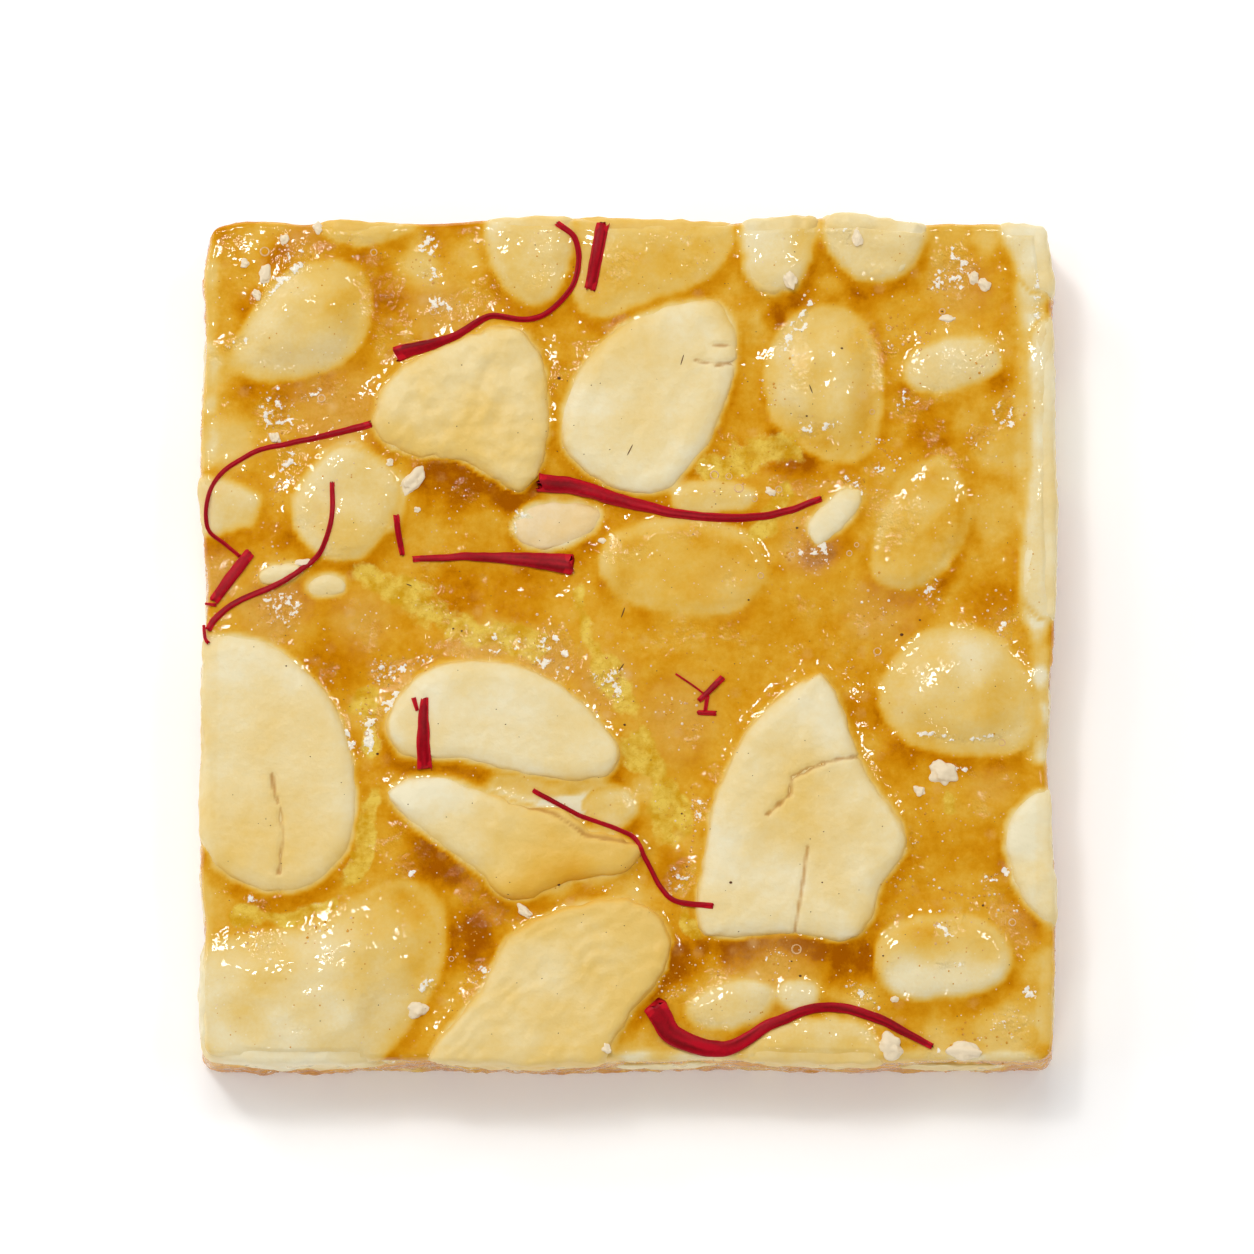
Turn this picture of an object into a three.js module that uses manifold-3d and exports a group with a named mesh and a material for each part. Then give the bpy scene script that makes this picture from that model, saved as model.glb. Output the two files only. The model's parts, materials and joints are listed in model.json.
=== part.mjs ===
// A square of cashew chikki: cashew kernels and broken pieces set in a poured and cut slab of
// amber sugar syrup, with saffron threads laid over the top.
// Millimetres, +Z up, +Y towards the back. The origin is under the middle of the slab, on its
// flat underside.

import * as THREE from "three";
import Module from "manifold-3d";

const wasm = await Module();
wasm.setup();

// ---- Driving dimensions -----------------------------------------------------------------

const SIDE = 70; // length of each side of the square
const LEVEL = 10; // mean height of the set syrup above the table
const GAP = 0.3; // clear space round a piece that another piece holds
const TOP_CELLS = 26; // cells of the slab's top along each side
const EDGE_ROUND = 0.45; // how far the top edge is drawn in by its rounding
const CORNER_ROUND = 0.55; // how far each upright corner is drawn in
const FLARE = 0.2; // the slab spreads this much towards its base
const BARE = 0.7; // a bare piece stands this far above the syrup round it
const SUNK = 0.2; // a piece under a film of syrup just reaches this far above the level
const DOME = 1.15; // the crown of a whole kernel above the level
const PIECE_DEPTH = 4.9; // thickness of a split or broken piece
const KERNEL_DEPTH = 6.6; // thickness of a whole kernel lying on its side
const OUTLINE_STEP = 2.6; // spacing of the points round a piece
const THREAD_STEP = 1.5; // spacing of the sections along a saffron thread
const THREAD_THICKNESS = 0.3; // thickness of a thread where it is thin

// ---- Materials --------------------------------------------------------------------------

const syrupMaterial = new THREE.MeshStandardMaterial({
  color: 0xd9922c,
  roughness: 0.15,
  metalness: 0,
});
const bareMaterial = new THREE.MeshStandardMaterial({
  color: 0xf0e3bd,
  roughness: 0.55,
  metalness: 0,
});
const glazedMaterial = new THREE.MeshStandardMaterial({
  color: 0xe6bd68,
  roughness: 0.2,
  metalness: 0,
});
const saffronMaterial = new THREE.MeshStandardMaterial({
  color: 0x9c0a1a,
  roughness: 0.6,
  metalness: 0,
});

// ---- Solids -----------------------------------------------------------------------------

function solidFrom(points, faces) {
  return new wasm.Manifold(
    new wasm.Mesh({
      numProp: 3,
      vertProperties: new Float32Array(points.flat()),
      triVerts: new Uint32Array(faces.flat()),
    }),
  );
}

function meshFrom(name, solid, material) {
  const { vertProperties, triVerts } = solid.getMesh();
  const geometry = new THREE.BufferGeometry();
  geometry.setAttribute("position", new THREE.BufferAttribute(vertProperties, 3));
  geometry.setIndex(new THREE.BufferAttribute(triVerts, 1));
  geometry.computeVertexNormals();
  const mesh = new THREE.Mesh(geometry, material);
  mesh.name = name;
  return mesh;
}

function largestBody(solid) {
  const bodies = solid.decompose();
  return bodies.reduce((most, body) => (body.volume() > most.volume() ? body : most));
}

function capFaces(outline) {
  const flat = outline.map(([x, y]) => new THREE.Vector2(x, y));
  return THREE.ShapeUtils.triangulateShape(flat, []);
}

// A closed body through a stack of rings with as many points each, every ring anticlockwise
// as seen from the next one; firstFlat and lastFlat are the end rings drawn on a plane.
function loft(rings, firstFlat, lastFlat) {
  const count = rings[0].length;
  const faces = [];
  for (let ring = 0; ring + 1 < rings.length; ring++) {
    for (let i = 0; i < count; i++) {
      const here = ring * count + i;
      const next = ring * count + ((i + 1) % count);
      faces.push([here, next, next + count], [here, next + count, here + count]);
    }
  }
  const last = (rings.length - 1) * count;
  capFaces(firstFlat).forEach(([a, b, c]) => faces.push([c, b, a]));
  capFaces(lastFlat).forEach(([a, b, c]) => faces.push([last + a, last + b, last + c]));
  return solidFrom(rings.flat(), faces);
}

// ---- The slab of syrup ------------------------------------------------------------------

// Each cut side wanders a little: pairs of [place along the side, place of the side].
const BACK_SIDE = [
  [-35, 34.2], [-32, 34.7], [-28, 34.3], [-18, 34.2], [-8, 34.8], [-1, 34.6],
  [7, 34.1], [13, 34.6], [18, 34.7], [25, 34.1], [32, 34.5], [35, 34.4],
];
const FRONT_SIDE = [
  [-35, -34.9], [-26, -35.1], [-18, -34.7], [-8, -35.1], [1, -34.9], [9, -34.7],
  [17, -35.1], [25, -34.8], [35, -35],
];
const LEFT_SIDE = [
  [-35, -35], [-29, -34.8], [-24, -34.4], [-20, -35], [-12, -34.8], [-4, -34.8],
  [5, -34.4], [13, -35], [20, -35], [26.5, -34.5], [31, -34.9], [35, -34.8],
];
const RIGHT_SIDE = [
  [-35, 35.1], [-30, 34.8], [-25, 35.1], [-18, 34.9], [-10, 34.3], [-5, 34.6],
  [4, 35.2], [14, 35], [26, 35], [35, 34.8],
];

function alongSide(side, at) {
  const next = side.findIndex(([place]) => place >= at);
  const [start, from] = side[Math.max(next - 1, 0)];
  const [end, to] = side[Math.max(next, 0)];
  return THREE.MathUtils.mapLinear(at, start, end === start ? start + 1 : end, from, to);
}

// The height of the syrup's surface, which set in low swells.
function syrupLevel(x, y) {
  const broad = 0.2 * Math.sin(x / 6.3 + 0.8) * Math.cos(y / 7.1 - 0.4);
  const slanting = 0.14 * Math.sin((x - 1.4 * y) / 5.9 + 1.1);
  return LEVEL + broad + slanting;
}

// A point of the slab's plan from its place across (0 left, 1 right) and along (0 front,
// 1 back); outward moves a point of the rim away from the slab.
function planPoint(across, along, outward) {
  const half = SIDE / 2;
  const x = THREE.MathUtils.lerp(-half, half, across);
  const y = THREE.MathUtils.lerp(-half, half, along);
  const sideX = Math.round(2 * across - 1) * (across === 0 || across === 1);
  const sideY = Math.round(2 * along - 1) * (along === 0 || along === 1);
  const drawnIn = sideX && sideY ? outward - CORNER_ROUND : outward;
  const left = alongSide(LEFT_SIDE, y);
  const right = alongSide(RIGHT_SIDE, y);
  const front = alongSide(FRONT_SIDE, x);
  const back = alongSide(BACK_SIDE, x);
  return [
    THREE.MathUtils.lerp(left, right, across) + sideX * drawnIn,
    THREE.MathUtils.lerp(front, back, along) + sideY * drawnIn,
  ];
}

// The places round the rim of the plan, anticlockwise from the front left corner.
function rimPlaces() {
  const places = [];
  for (let i = 0; i < TOP_CELLS; i++) places.push([i / TOP_CELLS, 0]);
  for (let i = 0; i < TOP_CELLS; i++) places.push([1, i / TOP_CELLS]);
  for (let i = TOP_CELLS; i > 0; i--) places.push([i / TOP_CELLS, 1]);
  for (let i = TOP_CELLS; i > 0; i--) places.push([0, i / TOP_CELLS]);
  return places;
}

// The heights of the rows of points up a cut side, and how far each row stands out.
const SIDE_ROWS = [
  { height: 0, outward: -0.1 },
  { height: 0.7, outward: FLARE },
  { height: 3.4, outward: FLARE },
  { height: 6.6, outward: 0.05 },
  { height: 9.1, outward: 0 },
];
const SIDE_RIPPLE = 0.14; // how far the knife's marks reach in and out

function sideRow({ height, outward }, index) {
  return rimPlaces().map(([across, along], place) => {
    const ripple = index === 0 ? 0 : SIDE_RIPPLE * Math.sin(1.7 * place + 2.3 * index);
    return [...planPoint(across, along, outward + ripple), height];
  });
}

function slabBlock() {
  const side = TOP_CELLS + 1;
  const rim = rimPlaces();
  const skirt = SIDE_ROWS.flatMap(sideRow);
  const rows = SIDE_ROWS.length;
  const top = [];
  for (let j = 0; j < side; j++) {
    for (let i = 0; i < side; i++) {
      const [x, y] = planPoint(i / TOP_CELLS, j / TOP_CELLS, -EDGE_ROUND);
      top.push([x, y, syrupLevel(x, y)]);
    }
  }
  const topIndex = (i, j) => skirt.length + j * side + i;
  const rimIndex = ([across, along]) =>
    topIndex(Math.round(across * TOP_CELLS), Math.round(along * TOP_CELLS));
  const faces = [];
  const quad = (a, b, c, d) => faces.push([a, b, c], [a, c, d]);
  for (let row = 0; row < rows; row++) {
    rim.forEach((place, i) => {
      const j = (i + 1) % rim.length;
      const above = row + 1 < rows;
      const start = row * rim.length;
      const overHere = above ? start + rim.length + i : rimIndex(place);
      const overNext = above ? start + rim.length + j : rimIndex(rim[j]);
      quad(start + i, start + j, overNext, overHere);
    });
  }
  for (let j = 0; j < TOP_CELLS; j++) {
    for (let i = 0; i < TOP_CELLS; i++) {
      quad(topIndex(i, j), topIndex(i + 1, j), topIndex(i + 1, j + 1), topIndex(i, j + 1));
    }
  }
  capFaces(skirt.slice(0, rim.length)).forEach(([a, b, c]) => faces.push([c, b, a]));
  return solidFrom([...skirt, ...top], faces);
}

// The space between the cut sides, which a piece at the edge is cut to.
function knifeBlock() {
  const rim = (height) =>
    rimPlaces()
      .filter((_, i) => i % 2 === 0)
      .map(([across, along]) => [...planPoint(across, along, FLARE / 2), height]);
  const below = rim(-1);
  const above = rim(LEVEL + 4);
  return loft([below, above], below, above);
}

// ---- The cashew pieces ------------------------------------------------------------------

// Each piece has the fewest points that give its outline, seen from above. A piece that the
// knife went through reaches past the side and is cut back to it. top is the height of its
// upper face above the syrup, depth its thickness, and tilt its slope across and along.
const bare = (outline, more = {}) => ({
  form: "flat",
  material: bareMaterial,
  top: BARE,
  outline,
  ...more,
});
const sunk = (outline, more = {}) => ({
  form: "flat",
  material: glazedMaterial,
  top: SUNK,
  outline,
  ...more,
});
const whole = (outline, more = {}) => ({
  form: "domed",
  material: glazedMaterial,
  top: DOME,
  depth: KERNEL_DEPTH,
  outline,
  ...more,
});

const CASHEWS = {
  // Whole kernels lying on their sides, their crowns through the syrup.
  cashew_whole_back_left: whole(
    [[-33.2, 22.2], [-31, 27.2], [-26.6, 31.2], [-21.4, 30.4], [-21, 26], [-23.4, 22.6], [-28.5, 20.9]],
    { tilt: [0.02, 0.05] },
  ),
  cashew_whole_back_right: whole(
    [
      [14.6, 27.3], [18, 27.7], [20.6, 24.8], [21, 18.2], [19.4, 14.2], [15.6, 14.7], [11.9, 17.6],
      [11.2, 22.3], [12.4, 25.6],
    ],
  ),
  cashew_whole_front_left: whole(
    [
      [-38, -27], [-32, -24.5], [-26.2, -23.4], [-21.3, -20.6], [-17.2, -19.6], [-14.6, -22],
      [-14.5, -26.5], [-17.2, -31.8], [-19.4, -34.2], [-22, -38], [-33, -38.5],
    ],
    { depth: 7.2 },
  ),
  cashew_whole_right: whole(
    [
      [22, -1.2], [25.4, 1.1], [29.6, 0.9], [32.6, -2.2], [34, -5.8], [33.6, -9], [30, -9.9],
      [24.4, -9.5], [21, -7.4], [20.6, -4],
    ],
  ),

  // Half kernels with the flat split face up.
  cashew_half_left: bare(
    [
      [-38, -2], [-34.5, 0.2], [-31.5, 0.4], [-27, -2.2], [-23.6, -6.6], [-22.2, -12.8],
      [-23, -18], [-26, -20.8], [-29.6, -21.2], [-33.4, -19.2], [-35.4, -15.8], [-38, -9],
    ],
    { top: 0.85, tilt: [0.01, 0] },
  ),
  cashew_half_middle: bare(
    [
      [-20, -7.4], [-17.2, -3.2], [-12.6, -1.9], [-7, -3.2], [-2.6, -6.6], [-0.1, -10.6],
      [-3, -11.8], [-8.4, -11.4], [-13.4, -10.1], [-18.6, -9.8],
    ],
    { top: 0.9, tilt: [0, 0.015] },
  ),
  cashew_half_back: bare(
    [
      [-5.5, 16], [-4.4, 21.4], [-1.4, 25.2], [3, 27.4], [8.2, 27.8], [9.2, 24], [7.6, 18.2],
      [5.2, 14.2], [2.6, 11.7], [-1.4, 12.4],
    ],
    { top: 0.8, tilt: [-0.02, -0.01] },
  ),

  // Broken pieces that stand bare of syrup.
  cashew_broken_back: bare(
    [
      [-21.2, 17], [-19.2, 21.8], [-15, 24], [-9.6, 25.8], [-7.3, 23.8], [-6.5, 18.6], [-7.3, 13],
      [-8.7, 12], [-13, 14.4], [-18.2, 15.2],
    ],
    { top: 0.9, tilt: [0.02, 0.01] },
  ),
  cashew_broken_middle: bare(
    [
      [-19.9, -12.8], [-15.6, -11.5], [-10.6, -13.4], [-6.4, -14.3], [-4.9, -14.3], [-3.4, -16.1],
      [-0.6, -16.4], [1.3, -17.1], [0.6, -19.2], [-4.6, -20.1], [-9.8, -22], [-12.4, -19.2],
      [-16.2, -16.6],
    ],
    { top: 0.8 },
  ),
  cashew_broken_front: bare(
    [
      [-9.7, -24.6], [-5.2, -22.4], [0.6, -21.8], [3.5, -24], [3.3, -27.6], [0.2, -31.2],
      [-2, -35], [-3.4, -38], [-17.5, -38], [-15.4, -33.2], [-12, -29.3],
    ],
    { top: 0.85, depth: 5.6, tilt: [0.01, -0.01] },
  ),
  cashew_broken_right: bare(
    [
      [15.9, -3], [13, -4.6], [10, -7.7], [7.4, -12.8], [6.2, -19], [6.1, -24.6], [13, -24.4],
      [19.5, -24.8], [20.6, -20.8], [23.3, -17], [20.4, -12.6], [18.2, -8], [16.9, -4],
    ],
    { top: 1, tilt: [0.01, 0.01] },
  ),
  cashew_broken_front_right: bare(
    [
      [20.4, -27.6], [20.6, -24.9], [23.4, -23.3], [28.4, -23.1], [31.4, -25.2], [31, -28.4],
      [26.4, -29.7], [21.6, -29.6],
    ],
    { top: 0.6 },
  ),
  cashew_back_edge_left: bare(
    [[9.9, 38], [9.7, 31.4], [10.2, 28.8], [12.2, 28.2], [14.2, 29.4], [15.4, 32.2], [15.6, 38]],
    { top: 0.65 },
  ),
  cashew_back_edge_right: bare(
    [[16.9, 38], [16.9, 31.7], [18.4, 29.8], [21.4, 29.3], [24, 31.4], [24.6, 38]],
    { top: 0.7 },
  ),
  cashew_right_edge_front: bare(
    [[38, -12], [33.4, -12.8], [31, -15.8], [31.6, -19.8], [33.4, -23], [38, -25]],
    { top: 0.6 },
  ),
  cashew_corner_back: bare(
    [[30.6, 33.6], [31.9, 31.6], [33.1, 28.4], [35, 28], [38, 29], [38, 38], [31.6, 38]],
    { top: 0.45 },
  ),
  cashew_right_edge_back: bare(
    [[38, 26.6], [34, 26.9], [33.1, 24], [33.3, 15], [32.5, 6], [32.3, 2.8], [33.6, 1.5], [38, 1]],
    { top: 0.5, depth: 5.2 },
  ),

  // Pieces under a film of syrup.
  cashew_sunk_back_corner: sunk(
    [[-25.6, 38], [-25.4, 33.6], [-23.4, 32.7], [-19.4, 32.7], [-17.9, 34], [-17.6, 38]],
    { depth: 3.8 },
  ),
  cashew_sunk_back_left: sunk(
    [[-11.4, 38], [-11.2, 31.2], [-9.6, 28.2], [-7.6, 27.2], [-5.6, 28.8], [-4.8, 31.6], [-4.9, 38]],
    { top: 0.35 },
  ),
  cashew_sunk_back_middle: sunk(
    [[-3.6, 38], [-3.8, 30.4], [-4.5, 27], [-2.6, 26.2], [1.6, 28], [6.4, 29.6], [8.4, 31.6], [8.5, 38]],
  ),
  cashew_sunk_right_back: sunk(
    [[22.4, 22.2], [24.6, 24.2], [29.8, 24.7], [31.2, 22.9], [28.4, 21], [24.4, 20.1]],
    { depth: 3.6 },
  ),
  cashew_sunk_right_middle: sunk(
    [[20, 5], [22.4, 3.8], [26, 5.4], [28.1, 9], [27.4, 13], [25.4, 15.2], [22.6, 13], [20.6, 8.6]],
    { depth: 5 },
  ),
  cashew_sunk_middle: sunk(
    [
      [-2.2, 5.4], [-2.2, 7.6], [2, 9.6], [7, 9.5], [10.8, 7.9], [11.5, 4.6], [9.2, 2.1], [3, 2.2],
      [-0.8, 3.1],
    ],
    { depth: 5 },
  ),
  cashew_sunk_left_kite: sunk(
    [
      [-23.4, 16.1], [-27.6, 11.2], [-26.2, 7.2], [-22.6, 6.2], [-20.2, 8.4], [-18.3, 12.6],
      [-20.6, 14.6],
    ],
    { top: 0.4 },
  ),
  cashew_sunk_left_edge: sunk(
    [[-38, 13], [-33, 12.9], [-30.2, 11.6], [-30.2, 9.6], [-33, 8.7], [-38, 8.6]],
    { depth: 4.2 },
  ),
  cashew_sunk_front_left: sunk(
    [[4.6, -31], [6.6, -29.2], [9.6, -28.3], [11.8, -28.4], [11.7, -31], [8.8, -32.2], [6, -32.2]],
    { top: 0.35, depth: 4.2 },
  ),
  cashew_sunk_front_middle: sunk(
    [[12.5, -28.5], [15.2, -28.4], [16.1, -29.4], [14.9, -30.6], [12.6, -30.5]],
    { top: 0.3, depth: 2.6 },
  ),
  cashew_sunk_front_edge: sunk(
    [[8, -38], [9.6, -33.9], [13, -32], [17, -31.4], [20.3, -32.5], [20.6, -38]],
    { top: 0.4 },
  ),

  // Chips and ends between the larger pieces.
  cashew_chip_pale: bare(
    [[-9.7, 8.4], [-8.6, 10.6], [-5, 11.3], [-1.6, 10.1], [-3.3, 8.3], [-6.6, 7.1]],
    { top: 0.35, depth: 2.8 },
  ),
  cashew_chip_back: sunk(
    [[3.2, 11.3], [4.8, 12.6], [8.6, 12.8], [10.8, 11.9], [10.6, 10.8], [6.8, 10.4], [4, 10.5]],
    { depth: 2.6 },
  ),
  cashew_chip_slim: bare(
    [[14.7, 8.8], [15.8, 7.5], [17.6, 9], [19.5, 11.3], [18.8, 12.6], [16.6, 11.3]],
    { top: 0.4, depth: 2.2 },
  ),
  cashew_chip_left: bare(
    [[-30.6, 4.7], [-29.8, 5.6], [-27.9, 6], [-26.5, 5.7], [-27.6, 4.7], [-29.3, 4.3]],
    { top: 0.4, depth: 2.2 },
  ),
  cashew_chip_left_inner: sunk(
    [[-26.6, 4.1], [-25.3, 5.1], [-23.2, 4.9], [-22.9, 3.9], [-24.6, 3.3], [-26.2, 3.4]],
    { top: 0.3, depth: 2.2 },
  ),
  cashew_chip_tan: sunk(
    [[-4, -13.6], [-1.4, -12.6], [0.4, -12.9], [0.7, -15], [-0.8, -15.7], [-2.6, -15.2]],
    { top: 0.3, depth: 2.4 },
  ),
};

// Kernels of the lower layer, which show only where the knife went through them: each has its
// middle just outside a side, its length along that side and the height of its middle.
const LOWER_DEPTH = 3.9;
const LOWER_WIDTH = 8.4;
const LOWER_POINTS = 12; // points round such a kernel
const lower = (x, y, length, middle, more = {}) => ({ x, y, length, middle, ...more });
const LOWER_CASHEWS = {
  cashew_lower_left_back: lower(-36.4, 21.6, 10.4, 4.4, { depth: 4.6 }),
  cashew_lower_left_middle: lower(-36.4, 4.5, 12, 3.1),
  cashew_lower_left_front: lower(-36, -22, 8.6, 5.6, { depth: 4.2 }),
  cashew_lower_right_back: lower(36.2, 17.5, 12.6, 2.9),
  cashew_lower_right_middle: lower(36.8, -6.8, 8.6, 4.8, { depth: 4.2 }),
  cashew_lower_right_front: lower(36, -29.5, 9.2, 5, { depth: 4.8 }),
  cashew_lower_back_left: lower(-29.5, 36, 8, 5.6, { depth: 4.8 }),
  cashew_lower_back_middle: lower(-1.5, 36.2, 12.4, 2.9),
  cashew_lower_back_right: lower(27.2, 36, 8.4, 5.4, { depth: 4.8 }),
  cashew_lower_front_middle: lower(3.4, -36.4, 10, 5.2, { depth: 4.4 }),
  cashew_lower_front_right: lower(27, -36.2, 10.4, 4.6, { depth: 4.9 }),
};

function smoothOutline(points, step) {
  const flat = points.map(([x, y]) => new THREE.Vector2(x, y));
  const ordered = THREE.ShapeUtils.isClockWise(flat) ? flat.reverse() : flat;
  const curve = new THREE.CatmullRomCurve3(
    ordered.map(({ x, y }) => new THREE.Vector3(x, y, 0)),
    true,
    "centripetal",
  );
  const count = Math.max(9, Math.round(curve.getLength() / step));
  return curve.getSpacedPoints(count).slice(0, count).map(({ x, y }) => [x, y]);
}

// The outline moved out by a distance, along its own normals.
function grown(outline, distance) {
  const count = outline.length;
  return outline.map(([x, y], i) => {
    const before = outline[(i + count - 1) % count];
    const after = outline[(i + 1) % count];
    const along = new THREE.Vector2(after[0] - before[0], after[1] - before[1]).normalize();
    return [x + distance * along.y, y - distance * along.x];
  });
}

function middleOf(outline) {
  const sum = outline.reduce(([sx, sy], [x, y]) => [sx + x, sy + y], [0, 0]);
  return sum.map((total) => total / outline.length);
}

// The outline drawn towards its middle by a share of the distance.
function drawnIn(outline, share) {
  const [mx, my] = middleOf(outline);
  return outline.map(([x, y]) => [x + share * (mx - x), y + share * (my - y)]);
}

// The rings of each form, lowest first: share draws the outline in, edge moves it in along
// its normals, down is the distance below the crown as a share of the depth, and lift is the
// way that the ring of a pocket moves from its piece's ring: -1 down, 1 up.
const FORMS = {
  flat: [
    { share: 0.46, down: 1, lift: -1 },
    { share: 0.12, down: 0.7, lift: -1 },
    { edge: 0, down: 0.18, lift: 0 },
    { edge: 0.5, down: 0, lift: 1 },
  ],
  domed: [
    { share: 0.45, down: 1, lift: -1 },
    { edge: 0, down: 0.52, lift: 0 },
    { share: 0.22, down: 0.17, lift: 1 },
    { share: 0.6, down: 0, lift: 1 },
  ],
};
const POCKET_MOUTH = 3; // how far the open mouth of a pocket reaches above the piece's top

// A cashew piece, or, with room above 0, the pocket that holds it.
function cashewSolid({ form, outline, top, depth = PIECE_DEPTH, tilt = [0, 0] }, room) {
  const plan = smoothOutline(outline, OUTLINE_STEP);
  const [mx, my] = middleOf(plan);
  const crown = syrupLevel(mx, my) + top;
  const last = FORMS[form].length - 1;
  const rings = FORMS[form].map(({ share = 0, edge = 0, down, lift }, ring) => {
    const mouth = room > 0 && form === "flat" && ring === last;
    const held = mouth ? plan : drawnIn(grown(plan, -edge), share);
    const raised = mouth ? POCKET_MOUTH : room * lift;
    return grown(held, room).map(([x, y]) => {
      const slope = tilt[0] * (x - mx) + tilt[1] * (y - my);
      return [x, y, crown - down * depth + slope + raised];
    });
  });
  return loft(rings, rings[0], rings[last]);
}

// The rings of a lens, lowest first: share draws the outline in, and up is the height above
// the middle as a share of half the depth.
const LENS = [
  { share: 0.55, up: -1 },
  { share: 0.1, up: -0.6 },
  { share: 0, up: 0.15 },
  { share: 0.25, up: 0.75 },
  { share: 0.65, up: 1 },
];

// A kernel of the lower layer, or its pocket: a lens-shaped section along the cut side.
function lowerSolid({ x, y, length, middle, depth = LOWER_DEPTH }, room) {
  const alongY = Math.abs(x) > Math.abs(y);
  const reach = [LOWER_WIDTH / 2, length / 2];
  const [halfX, halfY] = alongY ? reach : reach.toReversed();
  const outline = new THREE.EllipseCurve(x, y, halfX, halfY, 0, 2 * Math.PI)
    .getSpacedPoints(LOWER_POINTS)
    .slice(0, LOWER_POINTS)
    .map((point) => [point.x, point.y]);
  const half = depth / 2 + room;
  const rings = LENS.map(({ share, up }) =>
    grown(drawnIn(outline, share), room).map(([px, py]) => [px, py, middle + up * half]),
  );
  return loft(rings, rings[0], rings[rings.length - 1]);
}

// ---- The saffron threads ----------------------------------------------------------------

// Each thread follows its points over the top; widths are spread evenly from its first end to
// its last.
const SAFFRON = {
  saffron_back_curl: {
    path: [
      [-5.8, 34], [-4.3, 33], [-4.1, 30.3], [-5.6, 27.7], [-8.2, 26.3], [-11.3, 26.6],
      [-14.5, 24.8], [-19, 23.5],
    ],
    widths: [0.45, 0.45, 0.45, 0.5, 0.7, 1.3],
  },
  saffron_back_short: { path: [[-2, 34], [-2.6, 31.2], [-3.1, 28.8]], widths: [1.05, 1, 0.9] },
  saffron_left_arc: {
    path: [
      [-21.1, 17.6], [-26, 16.4], [-30.5, 15.4], [-33.5, 13.4], [-34.6, 11], [-34.4, 8.8],
      [-33, 7.6],
    ],
    widths: [0.6, 0.45, 0.4, 0.35, 0.3],
  },
  saffron_left_loop: {
    path: [
      [-24.25, 12.7], [-24.3, 9.6], [-25.5, 6.6], [-28.5, 4.4], [-31.7, 3], [-33.8, 1.5],
      [-34.3, 0.5],
    ],
    widths: [0.4, 0.4, 0.45, 0.5, 0.6],
  },
  saffron_left_broad: { path: [[-31, 6.7], [-32.6, 4.8], [-34, 3.1]], widths: [0.9, 0.85, 0.7] },
  saffron_left_dash: { path: [[-19, 10], [-18.8, 8.4], [-18.5, 6.8]], widths: [0.45, 0.45, 0.4] },
  saffron_middle_bar: {
    path: [[-17.6, 6.4], [-13, 6.6], [-9, 6.4], [-4.6, 5.9]],
    widths: [0.5, 0.6, 0.8, 1.2, 1.75],
  },
  saffron_long_sweep: {
    path: [[-7.3, 12.7], [-4, 12.3], [0, 11.1], [5, 10], [10, 9.8], [13.2, 10.4], [16, 11.4]],
    widths: [1.5, 1.1, 0.7, 0.6, 0.5],
  },
  saffron_on_half: { path: [[-16.6, -5.2], [-16.75, -8], [-16.6, -11]], widths: [0.6, 0.9, 1.2] },
  saffron_step_curve: {
    path: [[-7.7, -12.7], [-4, -14.7], [0.3, -16.4], [1.6, -18.5], [3.6, -21.6], [7, -22.3]],
    widths: [0.4, 0.35, 0.4, 0.5],
  },
  saffron_scrap: { path: [[7.9, -3.4], [6.9, -4.4], [5.8, -6.3]], widths: [0.5, 0.5, 0.45] },
  saffron_front_wave: {
    path: [[2.3, -30.5], [4, -33], [8, -34], [12, -31.9], [16, -30.6], [20, -31.3], [25, -33.8]],
    widths: [1.9, 1.3, 0.9, 0.7, 0.8, 0.5],
  },
};

// The highest point of the pieces under a place on the top.
function surfaceUnder(meshes, x, y) {
  const ray = new THREE.Raycaster(
    new THREE.Vector3(x, y, 2 * LEVEL),
    new THREE.Vector3(0, 0, -1),
  );
  const [first] = ray.intersectObjects(meshes, false);
  return first && first.point.z > LEVEL - 1 ? first.point.z : syrupLevel(x, y);
}

const PROBES = 3; // places felt along each step of a thread
const PROBE_EDGE = 0.2; // how far past a thread's edges the surface is felt

function threadSection(width) {
  const thickness = THREAD_THICKNESS + 0.18 * width;
  return [0, 1, 2, 3, 4, 5].map((corner) => {
    const turn = (corner * Math.PI) / 3;
    return [(width / 2) * Math.cos(turn), (thickness / 2) * Math.sin(turn)];
  });
}

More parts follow.
